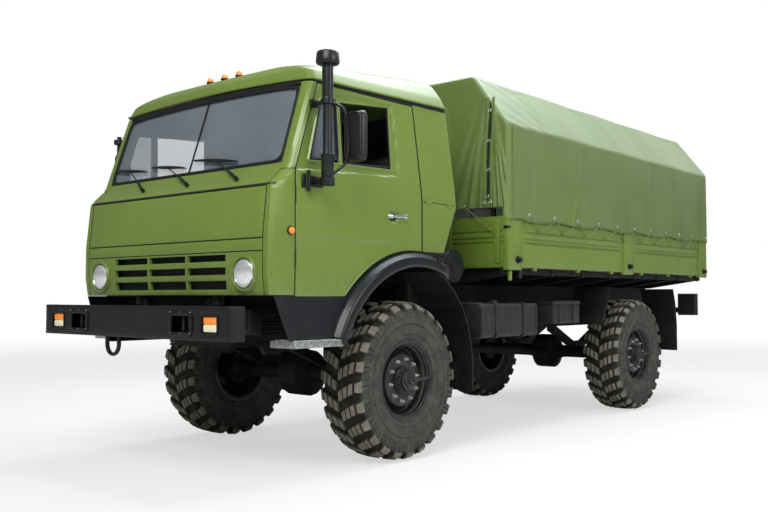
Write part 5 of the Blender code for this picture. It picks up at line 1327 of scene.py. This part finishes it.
def bumperScrews():
    head = lathe([(0.0, 0.0058), (-0.004, 0.0045)], 10, "Y")
    return both(joined([head.moved(x, bumperSettings["front"] - 0.0060, z)
                        for x in (0.534, 0.646, 0.758) for z in (1.046, 1.188)]))


addPiece("bumper", bumperForm(), black, "chassis", ["front_bumper"], 40)
addPiece("bumper_screws", bumperScrews(), chrome, "chassis", (), 40)
addPiece("turn_lamps", bumperLamps(1.108, 1.158), amber, "chassis", (), 40)
addPiece("fog_lamps", bumperLamps(1.056, 1.107), pale, "chassis", (), 40)


def towLoop():
    angle = np.linspace(-0.12, math.pi + 0.12, 40)
    path = np.column_stack([-0.26 - 0.078 * np.cos(angle), np.full(40, -3.905), 0.942 - 0.082 * np.sin(angle)])
    rise = np.array([0.0, 0.0, 0.075])
    return carried(strip(0.013, 0.016), np.vstack([path[:1] + rise, path, path[-1:] + rise]), False, forwards)


addPiece("tow_loop", towLoop(), black, "chassis", (), 40)

fenderSettings = {"start": 64, "end": 157, "steps": 90}


# painted sheen: a lighter blue-black base stands in for the sky's sheen on the fenders
glossBlack = paintBlack("glossBlack", 0.24, 0.08, (20, 23, 27))


def fenderForm():
    # a hollow rolled section carried round the arch and on down to the step
    centre, radius, steps = cabSettings["archCentre"], cabSettings["archRadius"] - 0.014, fenderSettings["steps"]
    angle = np.radians(np.linspace(fenderSettings["start"], fenderSettings["end"], steps))[:, None]
    x, reach = np.array([(1.150, -0.004), (1.196, -0.004), (1.212, -0.010), (1.222, -0.022), (1.238, -0.030),
                         (1.248, -0.040), (1.250, -0.056), (1.2495, -0.098), (1.246, -0.112), (1.236, -0.120),
                         (1.226, -0.121), (1.216, -0.116), (1.214, -0.106), (1.236, -0.100), (1.238, -0.058),
                         (1.234, -0.046), (1.212, -0.036), (1.150, -0.030)]).T
    fade = np.interp(np.arange(steps), [0, 6], [0.45, 1.0])[:, None]
    x = 1.15 + (x - 1.15) * (0.35 + 0.65 * fade)
    y = centre[0] + foreAxle + (radius + reach) * np.cos(angle)
    points = np.stack([x, y, centre[1] + (radius + reach) * np.sin(angle)], axis=-1)
    arch = skin(np.vstack([points, points[-1:] + np.array([0.0, 0.045, -0.055])]), wrapV=True, capU=True)
    lug = block((1.236, foreAxle + 0.325, 1.565), (1.256, foreAxle + 0.395, 1.612), 0.006)
    return joined([arch, lug, wingForm()])


def wingForm():
    # the black plate ahead of the wheel, between the arch's foot and the cab's corner
    low, high = 0.985, 1.298
    share, z = np.meshgrid(np.linspace(0, 1, 14), np.linspace(low, high, 14))
    front = np.interp(z, [low, high], [-1.290, -1.405])
    rear = cabSettings["archCentre"][0] - np.sqrt(np.maximum(1.04 ** 2 - (z - 0.60) ** 2, 0)) + 0.012
    return panelForm(lambda y, z: np.stack([np.interp(z, [low, 1.30], [1.205, 1.168]), foreAxle + y, z], axis=-1),
                     front + (rear - front) * share, z, thick=0.012, rim=0.005)


def stepForm():
    tooth = lathe([(0.984, 0.013), (0.990, 0.010), (0.990, 0.007), (0.984, 0.007), (0.984, 0.013)], 10, "Z")
    teeth = [tooth.moved(x, float(y)) for x in (1.03, 1.075, 1.12, 1.165, 1.21)
             for y in np.linspace(foreAxle - 1.255, foreAxle - 0.795, 16)]
    lip = tube([(1.238, foreAxle - 1.28, 0.981), (1.238, foreAxle - 0.77, 0.981)], 0.005, 8, up=sideways)
    return joined([block((0.99, foreAxle - 1.285, 0.935), (1.238, foreAxle - 0.765, 0.985), 0.006), lip] + teeth)


stepFinish = plainFinish("stepMetal")
addPair("fender_arch_*", fenderForm(), glossBlack, "cab", ["fender_*"], 40)
addPair("step_plate_*", stepForm(), stepFinish, "cab", (), 40)
# painted shade: a black sheet just behind the grille's slots stands in for the dark space behind them
addPiece("grille_dark", block((-0.74, foreAxle - 1.385, 1.325), (0.74, foreAxle - 1.375, 1.600), 0.002), rubberAndShadeBlack,
         "cab")
print("bumper, fenders and step done")

# the mast, mirrors, handles and small cab fittings
mastSettings = {"x": 1.30, "y": foreAxle - 1.03, "belt": 2.19}
mirrorSettings = {"x": 1.4455, "z": 2.425, "front": foreAxle - 0.930, "back": foreAxle - 0.870}


def mastForm():
    profile = [(-0.118, 0.020), (-0.112, 0.034), (-0.098, 0.042), (0.088, 0.046), (0.096, 0.049), (0.104, 0.049),
               (0.112, 0.036), (0.125, 0.0335), (0.470, 0.0335), (0.476, 0.041), (0.486, 0.043), (0.500, 0.043),
               (0.506, 0.039), (0.512, 0.0395), (0.735, 0.0405), (0.742, 0.050), (0.748, 0.078), (0.756, 0.084),
               (0.768, 0.085), (0.826, 0.080), (0.836, 0.074), (0.841, 0.060)]
    return lathe(profile, 40, "Z").moved(mastSettings["x"], mastSettings["y"], mastSettings["belt"])


def bracketForm():
    # the clamp at the mast's middle and the hinge bracket at its foot, placed from the mast's foot
    x = mastSettings["x"]
    collars = [lathe([(low, inner), (low, outer), (high, outer), (high, inner), (low, inner)], 32, "Z").moved(x)
               for low, high, inner, outer in ((0.462, 0.500, 0.0405, 0.047), (-0.115, -0.060, 0.0445, 0.052))]
    arms = blocks((1.165, x - 0.030, -0.016, 0.016, 0.468, 0.496), (1.163, 1.182, -0.045, 0.035, 0.455, 0.510),
                  (1.172, 1.184, -0.062, 0.075, -0.118, -0.040), (1.172, 1.182, -0.132, -0.092, -0.130, -0.030),
                  (1.180, x - 0.040, -0.030, 0.030, -0.100, -0.066, 0.006))
    pin = lathe([(-0.155, 0.013), (-0.005, 0.013)], 16, "Z").moved(1.194, -0.078)
    bolt = lathe([(0.0, 0.0085), (0.007, 0.0085), (0.009, 0.006)], 6)
    bolts = [bolt.moved(1.182, y, z) for y, z in ((-0.112, -0.116), (-0.112, -0.044), (-0.045, -0.100),
                                                  (0.058, -0.100), (0.058, -0.060), (-0.045, -0.060))]
    return joined(collars + [arms, pin] + bolts).moved(y=mastSettings["y"], z=mastSettings["belt"])


def mirrorForm():
    # head: a rounded shell with a frame; arm: one bent tube from the foot of the mast up behind the head
    x, z, front, back = (mirrorSettings[key] for key in ("x", "z", "front", "back"))
    rings = [stood(roundRect(halfWide, halfHigh, radius, 6), x, front + along, z)
             for along, halfWide, halfHigh, radius in (
                 (0.000, 0.058, 0.150, 0.030), (0.006, 0.070, 0.164, 0.034), (0.016, 0.078, 0.173, 0.036),
                 (0.040, 0.084, 0.179, 0.038), (0.054, 0.086, 0.181, 0.038), (0.061, 0.084, 0.179, 0.036),
                 (0.061, 0.076, 0.171, 0.030))]
    parts = [skin(np.array(rings), wrapV=True, capU=True)]
    for halfWide, halfHigh, corner, y, radius in ((0.083, 0.178, 0.038, back - 0.004, 0.006),
                                                  (0.070, 0.163, 0.034, front + 0.004, 0.0085)):
        parts.append(tube(stood(roundRect(halfWide, halfHigh, corner, 6), x, y, z), radius, 8, True, up=forwards))
    line = np.array([(1.31, 0.02, -0.045), (1.345, 0.05, -0.010), (1.385, 0.085, 0.030), (1.405, 0.100, 0.115),
                     (1.398, 0.108, 0.240), (1.392, 0.105, 0.360), (1.375, 0.080, 0.440), (1.335, 0.035, 0.470),
                     (1.31, 0.015, 0.478)]) + np.array([0.0, mastSettings["y"], mastSettings["belt"]])
    arm = np.stack([np.interp(np.linspace(0, 8, 60), np.arange(9), values) for values in line.T], axis=1)
    for _ in range(3):
        arm[1:-1] = (arm[:-2] + arm[1:-1] * 2 + arm[2:]) / 4
    clamp = blocks((1.385, 1.425, front + 0.014, front + 0.040, z - 0.02, z + 0.02, 0.006))
    return joined(parts + [tube(arm, 0.0105, 10, up=sideways), clamp])


def mirrorGlass():
    m = mirrorSettings
    ring = roundRect(0.0745, 0.1695, 0.030, 6)
    return skin(np.array([stood(ring, m["x"], m["back"] + out, m["z"]) for out in (0.0015, 0.0055)]), wrapV=True,
                capU=True)


def handleForm():
    # a plated pull over its dish, with the lock's round head at the back
    line = sunk(cabSide, [(-0.218, 1.921), (-0.190, 1.921), (-0.100, 1.926), (-0.035, 1.930)], -0.022)
    line[0] = sunk(cabSide, [(-0.224, 1.921)], -0.002)[0]
    line = evenly(rounded(line, 0.02), 26)
    size = np.interp(np.arange(26), [0, 6, 20, 25], [1.0, 0.85, 0.95, 1.15])
    pull = carried(strip(0.013, 0.0065), line, False, sideways, size)
    lock = lathe([(1.166, 0.024), (1.192, 0.0235), (1.200, 0.020), (1.203, 0.012)], 28)
    slotCut = block((1.2025, foreAxle - 0.029, 1.921), (1.2045, foreAxle - 0.023, 1.939), 0.001)
    return joined([pull, lock.moved(y=foreAxle - 0.026, z=1.930), slotCut])


def quarterBits():
    # two small hinges on the flap's line, and rivets up the corner panel
    parts = []
    for y in (0.285, 0.575):
        leaf, reach = sunk(cabSide, [(y, 2.050)], -0.001)[0], np.array([0.003, 0.026, 0.013])
        parts += [tube(sunk(cabSide, [(y - 0.035, 2.069), (y + 0.035, 2.069)], -0.004), 0.006, 10, up=sideways),
                  block(leaf - reach, leaf + reach, 0.002)]
    dot = lathe([(0.0, 0.009), (0.004, 0.007)], 14)
    spots = sunk(cabSide, [(0.40, 1.715), (-1.258, 2.046), (-1.255, 1.560), (-1.252, 1.408), (-1.258, 1.90)], 0.0)
    return joined(parts + [dot.moved(*spot) for spot in spots])


# painted sheen: a lighter blue-black base stands in for the sky's sheen on the mast and mirror
mirrorPaint = paintBlack("mirrorBlack", 0.28, 0.02, (20, 22, 25))


silver = plainFinish("mirrorSilver")
plainMast = tube([(1.30, mastSettings["y"], 2.09), (1.30, mastSettings["y"], 2.72)], 0.020, 16, up=(0.0, 1.0, 0.0))
mirrorLeft, mirrorRight = (joined([mast, bracketForm(), mirrorForm()]) for mast in (mastForm(), plainMast))
for name, form in (("left", mirrorLeft), ("right", mirrorRight.mirrored())):
    addPiece("mirror_set_" + name, form, mirrorPaint, "door_" + name, ["mirror_" + name], 40)
addPair("mirror_glass_*", mirrorGlass(), silver, "door_*", (), 40)
addPair("handle_*", handleForm(), chrome, "door_*", (), 40)
addPiece("cab_rivets", both(quarterBits()), green, "cab", (), 40)
print("mast, mirrors and fittings done")

# the bed's boards and posts
bedSettings = {"face": 1.240, "low": 1.563, "high": 2.038, "pressed": (1.775, 1.912),
               "grooves": ((1.893, 0.010, -0.014), (1.862, 0.014, 0.005), (1.832, 0.009, -0.013),
                           (1.792, 0.010, -0.014)),
               "posts": ((-0.801, -0.566, 2.112), (1.561, 1.796, 2.040), (3.740, 3.975, 2.040)),
               "head": -0.744, "tail": 3.968}


def ribbed(a, z):
    # upright profile of a rolled board: grooves and a rib, the same all along
    return sum(high * smooth((half + 0.004 - np.abs(z - middle)) / 0.008)
               for middle, half, high in bedSettings["grooves"])


def boardForm(where, low, high, thick=0.028):
    b = bedSettings
    (start, end), across = b["pressed"], lines([low, high], 0.12, 0.006)
    up = np.unique(np.concatenate([lines([b["low"], start], 0.05, 0.006), np.linspace(start, end, 42),
                                   lines([end, b["high"]], 0.05, 0.006)]))
    return panelForm(where, *np.meshgrid(across, up), thick=thick, rim=0.006, relief=ribbed)


def facePlane(y, z):
    return np.stack([np.full_like(y, bedSettings["face"]), y, z], axis=-1)


def headPlane(x, z):
    return np.stack([x, np.full_like(x, bedSettings["head"]), z], axis=-1)


def tailPlane(x, z):
    return np.stack([-x, np.full_like(x, bedSettings["tail"]), z], axis=-1)


def postForm(low, high, top):
    # a pressed post with its two turned edges
    edges = [(1.246, 1.2545, y - 0.010, y + 0.010, 1.545, top - 0.006, 0.003) for y in (low + 0.012, high - 0.012)]
    return blocks((1.192, 1.250, low, high, 1.537, top, 0.007), *edges)


def sideBoards():
    posts = bedSettings["posts"]
    parts = [boardForm(facePlane, ahead[1] + 0.006, behind[0] - 0.006) for ahead, behind in zip(posts, posts[1:])]
    parts += [postForm(*post) for post in posts]
    straps = [(1.20, 1.236, y - 0.03, y + 0.03, 1.537, 1.566) for y in (-0.30, 0.55, 1.30, 2.05, 2.80, 3.50)]
    return joined(parts + [blocks(*straps)])


def postFittings():
    # round rubber knobs at the posts' feet, the front post's slot and the stub below
    knob = lathe([(0.0, 0.034), (0.006, 0.034), (0.008, 0.024), (0.024, 0.022), (0.030, 0.024), (0.040, 0.024),
                  (0.045, 0.018)], 28)
    knobs = [knob.moved(1.250, y, z) for y, z in ((-0.640, 1.632), (1.685, 1.626), (3.870, 1.615))]
    return joined(knobs + [blocks((1.236, 1.262, -0.812, -0.770, 1.918, 1.940, 0.003),
                                  (1.205, 1.240, -0.808, -0.796, 1.915, 1.943, 0.003),
                                  (1.18, 1.245, -0.60, -0.555, 1.462, 1.535, 0.006))])


def boltHeads():
    # bolts up the front post, the loop on its top and the tube below it
    head = lathe([(0.0, 0.009), (-0.006, 0.009), (-0.008, 0.006)], 6, "Y")
    loop = tube([(1.252, -0.790, 2.030), (1.262, -0.775, 2.034), (1.262, -0.640, 2.034), (1.252, -0.625, 2.030)],
                0.005, 8, up=sideways)
    foot = lathe([(1.440, 0.016), (1.448, 0.020), (1.530, 0.020)], 16, "Z").moved(1.225, -0.735)
    return joined([head.moved(1.222, -0.801, z) for z in (1.66, 1.74, 1.80, 1.86)] + [loop, foot])


addPair("boards_*", sideBoards(), green, "chassis", ["side_board_*"], 35)
addPair("post_knobs_*", postFittings(), black, "chassis", (), 35)
addPair("post_bolts_*", boltHeads(), green, "chassis", (), 35)
headRibs = blocks(*[(x - 0.03, x + 0.03, -0.757, -0.742, 1.60, 2.02) for x in (-1.10, -0.55, 0.0, 0.55, 1.10)])
addPiece("head_board", boardForm(headPlane, -1.188, 1.188, 0.036) + headRibs, green, "chassis",
         ["headboard"], 35)
hinges = blocks(*[(x - 0.035, x + 0.035, 3.960, 3.9745, 1.57, 1.68) for x in (-0.80, 0.80)])
addPiece("tail_board", boardForm(tailPlane, -1.186, 1.186, 0.036) + hinges, green, "tailgate",
         ["tailgate"], 35)

# the canvas's eyelets, lacing, slit and stays
lacingSettings = {"eyelets": (-0.455, 0.009, 0.471, 0.926, 1.370, 1.809, 2.219, 2.643, 3.063, 3.476, 3.915),
                  "eyeletHigh": 2.052, "hookHigh": 1.912, "rope": 0.0037}


laceEyes = np.array(lacingSettings["eyelets"])
laceHooks = (laceEyes[:-1] + laceEyes[1:]) / 2 - 0.03


def laceForm():
    # the rope runs from eyelet to hook to eyelet, a little slack in each length, and a loop goes round each hook
    c = lacingSettings
    points = [(1.274, laceEyes[0], c["eyeletHigh"])]
    for hook, eye in zip(laceHooks, laceEyes[1:]):
        points += [(1.256, hook, c["hookHigh"]), (1.274, eye, c["eyeletHigh"])]
    points = np.array(points)
    path = []
    for a, b in zip(points[:-1], points[1:]):
        t = np.linspace(0, 1, 15)[:-1]
        run = a + (b - a) * t[:, None]
        run[:, 2] -= np.sin(t * math.pi) * (0.006 if a[2] > b[2] else 0.020)
        run[:, 0] += np.sin(t * math.pi) * 0.006
        path.append(run)
    rope = tube(np.vstack(path + [points[-1:]]), c["rope"], 8, up=sideways)
    curl = np.linspace(0, tau, 13)[:-1]
    loops = [tube(np.column_stack([1.254 + 0.007 * np.sin(curl), y + 0.016 * np.cos(curl),
                                   c["hookHigh"] + 0.004 * np.sin(curl)]), 0.0038, 6, True) for y in laceHooks]
    first = laceEyes[0]
    end = tube([(1.262, first - 0.02, c["eyeletHigh"] - 0.01), (1.258, first - 0.06, c["hookHigh"] + 0.06),
                (1.256, first - 0.10, c["hookHigh"] + 0.02)], c["rope"], 8, up=sideways)
    return joined([rope, end] + loops)


def eyeletRing(radius=0.016):
    curl = np.linspace(0, tau, 21)[:-1]
    return tube(np.column_stack([np.zeros(20), radius * np.cos(curl), radius * np.sin(curl)]), 0.0042, 8, True,
                up=sideways)


def hookForm():
    high = lacingSettings["hookHigh"]
    one = tube([(1.238, 0.0, high + 0.012), (1.258, 0.0, high + 0.006), (1.262, 0.0, high - 0.006),
                (1.256, 0.0, high - 0.014), (1.240, 0.0, high - 0.016)], 0.0035, 6, up=(0.0, 1.0, 0.0))
    return joined([one.moved(y=float(y)) for y in laceHooks])


def eyeletForm():
    # a row along each side's hem, and those of the front round its slit and its lower corners
    row = [eyeletRing().moved(1.2700, float(y), lacingSettings["eyeletHigh"]) for y in laceEyes]
    ring = eyeletRing(0.013)
    ring = Form(ring.points[:, [1, 0, 2]], ring.faces)
    return joined(row + [ring.moved(x, -0.8145, z) for x, z in (
        (1.068, 3.02), (1.056, 2.74), (1.046, 2.47), (1.036, 2.22), (1.004, 2.165), (1.070, 2.165), (0.773, 2.145))])


def slitAt(z):
    return 1.034 + 0.040 * (z - 2.19) / 0.9 + 0.006 * np.sin(z * 9)


def slitForm():
    # painted shade: a dark strip standing in for the shade in the slit's opening
    z = np.linspace(2.19, 3.10, 30)
    return carried(strip(0.011, 0.004), np.column_stack([slitAt(z), np.full(30, -0.8125), z]), False, forwards,
                   np.interp(z, [2.19, 2.3, 2.95, 3.10], [0.7, 1.0, 0.8, 0.25]))


def hemForm():
    # the slit's two hems, the seam down the front corner and the hem along the side
    z = np.linspace(2.14, 3.14, 40)
    forms = [carried(strip(wide, 0.0035), np.column_stack([slitAt(z) + shift, -0.8115 - 0.003 * np.sin(z * 31), z]),
                     False, forwards) for shift, wide in ((-0.040, 0.020), (0.034, 0.014))]
    corner = np.column_stack([np.full(60, 1.2685), -0.728 + 0.002 * np.sin(np.arange(60) * 1.9),
                              np.linspace(2.02, 2.87, 60)])
    y = np.linspace(-0.70, 3.96, 90)
    low = np.column_stack([np.full(90, 1.2665), y, 2.020 + 0.012 * np.sin(y * 7.1 + 0.6)])
    return joined(forms + [carried(strip(0.006, 0.0030), corner, False, sideways),
                           carried(strip(0.0045, 0.003), low, False, sideways)])


def stayForm():
    # a rope from the front's lower eyelet to the headboard, and one more behind it
    return joined([tube(line, radius, 8, up=forwards) for line, radius in (
        ([(0.773, -0.820, 2.145), (0.93, -0.812, 2.015), (1.095, -0.790, 1.884)], 0.0055),
        ([(0.700, -0.815, 2.13), (0.60, -0.80, 2.03), (0.50, -0.775, 1.93)], 0.0045))])


def ropeFibre():
    paint = Paint("ropeFibre")
    at = paint.place()
    twist = (paint.axes(at)[1] * 700.0 + paint.axes(at)[2] * 900.0).math("SINE")
    colour = paint.mix(paint.noise(at, 90.0, 3.0), (92, 98, 56), (150, 150, 104))
    return paint.finish(Base_Color=colour, Roughness=0.8, Normal=paint.bump(twist, 0.001))


ropeFinish = ropeFibre()
addPiece("lacing", both(laceForm() + stayForm()), ropeFinish, "chassis", (), 60)
addPiece("eyelets", both(eyeletForm()), chrome, "chassis", (), 60)
addPiece("lacing_hooks", both(hookForm()), green, "chassis", (), 60)
addPiece("canvas_slit", both(slitForm()), rubberAndShadeBlack, "chassis", (), 60)
addPiece("canvas_hems", both(hemForm()), canvas, "chassis", (), 60)
print("bed, lacing and stays done")

# tanks, air cleaner and what hangs on the chassis


def chassisBlack():
    paint = Paint("chassisBlack")
    at = paint.place()
    broad, fine = paint.noise(at, 5.0, 5.0, 0.6), paint.noise(at, 45.0, 4.0)
    colour = paint.mix(broad.between(0.4, 0.75), (11, 11, 12), (28, 27, 26))
    colour = paint.mix(fine.between(0.62, 0.8) * 0.5, colour, (70, 62, 48))
    return paint.finish(Base_Color=colour, Roughness=0.55 + 0.25 * fine, Specular_IOR_Level=0.3,
                        Normal=paint.bump(fine, 0.0015))


under = chassisBlack()
for name in ("chassis_frame", "bed_subframe", "engine", "gearbox", "front_axle", "rear_axle", "rear_crossbar",
             "silencer", "air_tank", "knuckle_left", "knuckle_right"):
    bpy.data.objects[name].data.materials.clear()
    bpy.data.objects[name].data.materials.append(under)


def tankForm(low, high, straps):
    # a pressed tank lying along y, its ends flanged, held by straps
    (x0, y0, z0), (x1, y1, z1) = low, high
    wide, tall, x, z = (x1 - x0) / 2, (z1 - z0) / 2, (x0 + x1) / 2, (z0 + z1) / 2
    ring = roundRect(wide, tall, 0.04, 6)
    rows = [stood(ring * (1 - inset / np.abs(ring).max(axis=0)), x, y0 + (y1 - y0) * share, z)
            for share, inset in ((0.0, 0.030), (0.004, 0.010), (0.014, 0.002), (0.022, 0.0), (0.030, 0.0),
                                 (0.034, 0.006), (0.05, 0.006), (0.5, 0.006), (0.95, 0.006), (0.966, 0.006),
                                 (0.970, 0.0), (0.978, 0.0), (0.986, 0.002), (0.996, 0.010), (1.0, 0.030))]
    parts = [skin(np.array(rows), wrapV=True, capU=True)]
    band = roundRect(wide - 0.001, tall - 0.001, 0.034, 5)
    for y in straps:
        parts.append(carried(strip(0.003, 0.024), stood(band, x, y, z), True, (0.0, 1.0, 0.0)))
        parts.append(blocks((x1 - 0.004, x1 + 0.001, y - 0.010, y + 0.010, z1 - 0.075, z1 - 0.035, 0.003),
                            (0.452, x0 + 0.02, y - 0.03, y + 0.03, z0 + 0.02, z1 - 0.02)))
    return joined(parts)


def tankBlack():
    paint = Paint("tankBlack")
    at = paint.place()
    broad, fine = paint.noise(at, 4.0, 5.0, 0.65), paint.noise(at, 60.0, 4.0, 0.7)
    drawn = paint.node("ShaderNodeVectorMath", {"operation": "MULTIPLY"}, [at, (14.0, 14.0, 1.5)])
    streak = paint.noise(drawn, 2.0, 4.0)
    colour = paint.mix(broad.between(0.35, 0.7), (10, 10, 11), (28, 28, 28))
    colour = paint.mix(streak.between(0.5, 0.8) * 0.40, colour, (72, 70, 62))
    return paint.finish(Base_Color=colour, Roughness=0.42 + 0.3 * fine, Normal=paint.bump(fine + broad, 0.0010))


tankFinish = tankBlack()
fuel = tankForm((0.705, -1.172, 0.918), (1.217, -0.228, 1.238), (-0.93, -0.47))
cap = lathe([(1.236, 0.045), (1.256, 0.045), (1.262, 0.038)], 24, "Z").moved(1.02, -0.70)
addPiece("fuel_tanks", both(fuel + cap), tankFinish, "chassis",
         ["fuel_tank_left", "fuel_tank_right"], 35)
battery = blocks((0.853, 1.190, 0.110, 0.640, 1.022, 1.215, 0.012, 3),
                 (0.845, 1.198, 0.102, 0.648, 1.212, 1.248, 0.010, 3), (0.452, 0.870, 0.16, 0.59, 1.03, 1.06, 0.006),
                 *[(1.186, 1.200, y - 0.022, y + 0.022, 1.030, 1.246) for y in (0.235, 0.515)],
                 *[(1.196, 1.208, y - 0.015, y + 0.015, 1.165, 1.205) for y in (0.235, 0.515)],
                 *[(1.188, 1.195, 0.125, 0.625, z - 0.006, z + 0.006, 0.003) for z in (1.07, 1.17)])
addPiece("battery_case", battery, tankFinish, "chassis", ["battery_box"], 35)


def cleanerForm():
    profile = [(0.465, 0.095), (0.480, 0.118), (0.500, 0.146), (0.520, 0.150), (0.600, 0.150), (0.604, 0.154),
               (0.616, 0.154), (0.620, 0.150), (0.905, 0.150), (0.909, 0.155), (0.920, 0.155), (0.926, 0.148),
               (0.934, 0.142), (0.934, 0.118), (0.940, 0.112), (0.940, 0.084), (0.934, 0.078), (0.934, 0.052),
               (0.944, 0.046), (0.946, 0.020), (0.952, 0.016)]
    clip = block((0.88, -0.01, 0.147), (0.94, 0.01, 0.157), 0.003)
    drum = joined([lathe(profile, 56)] + [clip.turned("X", at) for at in (20, 140, 260)]).moved(y=-1.195, z=1.565)
    pipe = tube([(0.55, -1.195, 1.43), (0.50, -1.195, 1.36), (0.46, -1.195, 1.27), (0.42, -1.195, 1.215)], 0.045, 20,
                up=(0.0, 1.0, 0.0))
    return joined([drum, pipe, block((0.42, -1.30, 1.205), (0.50, -1.09, 1.43), 0.006)])


addPiece("air_cleaner_drum", cleanerForm(), black, "chassis", ["air_cleaner"], 35)


def clutter():
    # hoses, brackets, bolts and boxes between the cab, the rails and the bed; all of it rides on the chassis
    parts = []
    draw = np.random.default_rng(7)
    bolt = lathe([(0.0, 0.013), (0.009, 0.013)], 6)
    for side in (1, -1):
        for k in range(7):  # lines along the rails
            y = np.linspace(-3.55 + 0.06 * k, 3.45 - 0.25 * k, 60)
            x = side * (0.447 + 0.008 * (k % 3)) + 0.004 * np.sin(y * 2.2 + k)
            z = 1.00 + 0.030 * k + 0.005 * np.sin(y * 3.1 + 2 * k)
            parts.append(tube(np.column_stack([x, y, z]), 0.0055 + 0.002 * (k % 2), 8))
        parts += [bolt.moved(side * 0.4352, -3.7 + k * 0.28, 1.16) for k in range(26)]
    # the bed's sills and the brackets that hold them, the plate behind the cab, and the radiator with its core
    parts.append(both(blocks((1.150, 1.182, -0.785, 3.925, 1.498, 1.553, 0.006),
                             *[(1.178, 1.194, y, y + 0.045, 1.488, 1.556) for y in np.arange(-0.55, 3.8, 0.62)])))
    parts.append(blocks((-0.43, 0.36, -1.312, -1.300, 1.12, 1.44), (-0.42, 0.42, -3.50, -3.40, 1.02, 1.335, 0.01),
                        *[(-0.40, 0.40, -3.512, -3.498, z, z + 0.006, 0.002) for z in np.arange(1.03, 1.26, 0.016)]))
    for _ in range(9):  # short hoses hanging ahead of the axle
        x0, x1 = draw.uniform(-0.9, 0.9), draw.uniform(-0.4, 0.4)
        y0, z0, z1 = draw.uniform(-3.50, -3.42), draw.uniform(1.14, 1.21), draw.uniform(1.02, 1.12)
        t = np.linspace(0, 1, 16)
        path = np.column_stack([x0 + (x1 - x0) * t, y0 + 0.05 * np.sin(t * 3),
                                z0 + (z1 - z0) * t - 0.06 * np.sin(t * math.pi)])
        parts.append(tube(path, draw.uniform(0.009, 0.018), 10, up=(0.0, 1.0, 0.0)))
    for x0, x1, y0, y1, z0, z1 in ((-0.92, -0.60, -3.50, -3.38, 1.02, 1.20), (0.55, 0.80, -3.48, -3.36, 1.02, 1.20),
                                   (0.46, 0.62, -0.10, 0.05, 1.00, 1.22), (0.46, 0.58, -1.42, -1.33, 1.22, 1.50),
                                   (0.47, 0.60, 0.80, 0.98, 1.00, 1.12)):  # boxes, each with a lid in front
        parts.append(blocks((x0, x1, y0, y1, z0, z1, 0.012, 3),
                            (x0 + 0.02, x1 - 0.02, y0 - 0.006, y0 + 0.004, z0 + 0.02, z1 - 0.02)))
    return joined(parts)


addPiece("chassis_clutter", clutter(), under, "chassis", (), 40)


red = lampPlastic("redLens", (150, 20, 16), (186, 34, 26), 0.10)
for piece, finish, low, high in (("tail_lenses", red, 1.10, 1.19), ("tail_turn_lenses", amber, 1.20, 1.28)):
    addPiece(piece, both(blocks((1.015, 1.125, 3.842, 3.858, low, high, 0.008, 3))), finish, "chassis",
             (), 40)
print("tanks and chassis fittings done")

# inside the cab
seatSettings = {"inner": 0.52, "outer": 1.00, "front": foreAxle - 0.50, "back": foreAxle - 0.02}


def cushion(low, high, crown, channels=3):
    # a stuffed pad: a rounded box swelling in the middle, with stitched channels across it
    u, v = np.meshgrid(np.linspace(-1, 1, 33), np.linspace(-1, 1, 33))
    low, high = np.array(low), np.array(high)
    edge = (1 - np.abs(u) ** 8) ** 0.125 * (1 - np.abs(v) ** 8) ** 0.125
    swell = crown * (1 - u ** 2) * (1 - v ** 2) - 0.006 * hill(np.sin((v + 1) * math.pi * channels / 2), 0, 0.12)
    upper, lower = (np.stack([u, v, side * edge], axis=-1) * (high - low) / 2 + (low + high) / 2 for side in (1, -1))
    upper[..., 2] += swell * edge
    return skin(upper) + skin(lower)


def seatForm():
    inner, outer, front, back = (seatSettings[key] for key in ("inner", "outer", "front", "back"))
    base = cushion((inner, front, 1.735), (outer, back, 1.845), 0.016)
    rest = cushion((-0.24, -0.31, -0.045), (0.24, 0.31, 0.045), 0.014, 4).turned("X", 82)
    rest = rest.moved((inner + outer) / 2, back + 0.055, 2.135)
    return joined([base, rest])


def seatBase():
    inner, outer, front, back = (seatSettings[key] for key in ("inner", "outer", "front", "back"))
    hoop = [(inner + 0.05, back + 0.115, 1.80), (inner + 0.05, back + 0.135, 2.42),
            (outer - 0.05, back + 0.135, 2.42), (outer - 0.05, back + 0.115, 1.80)]
    return joined([block((inner + 0.02, front + 0.02, 1.66), (outer - 0.02, back - 0.02, 1.735), 0.01),
                   tube(hoop, 0.012, 10, up=(0.0, 1.0, 0.0))])


for role, pads in (("driver", seatForm()), ("passenger", seatForm().mirrored())):
    made = addPiece("seat_pads_" + role, pads, seatFinish, "cab", ["seat_" + role], 60)
addPiece("seat_bases", both(seatBase()), black, "cab", (), 40)
print("seats done")
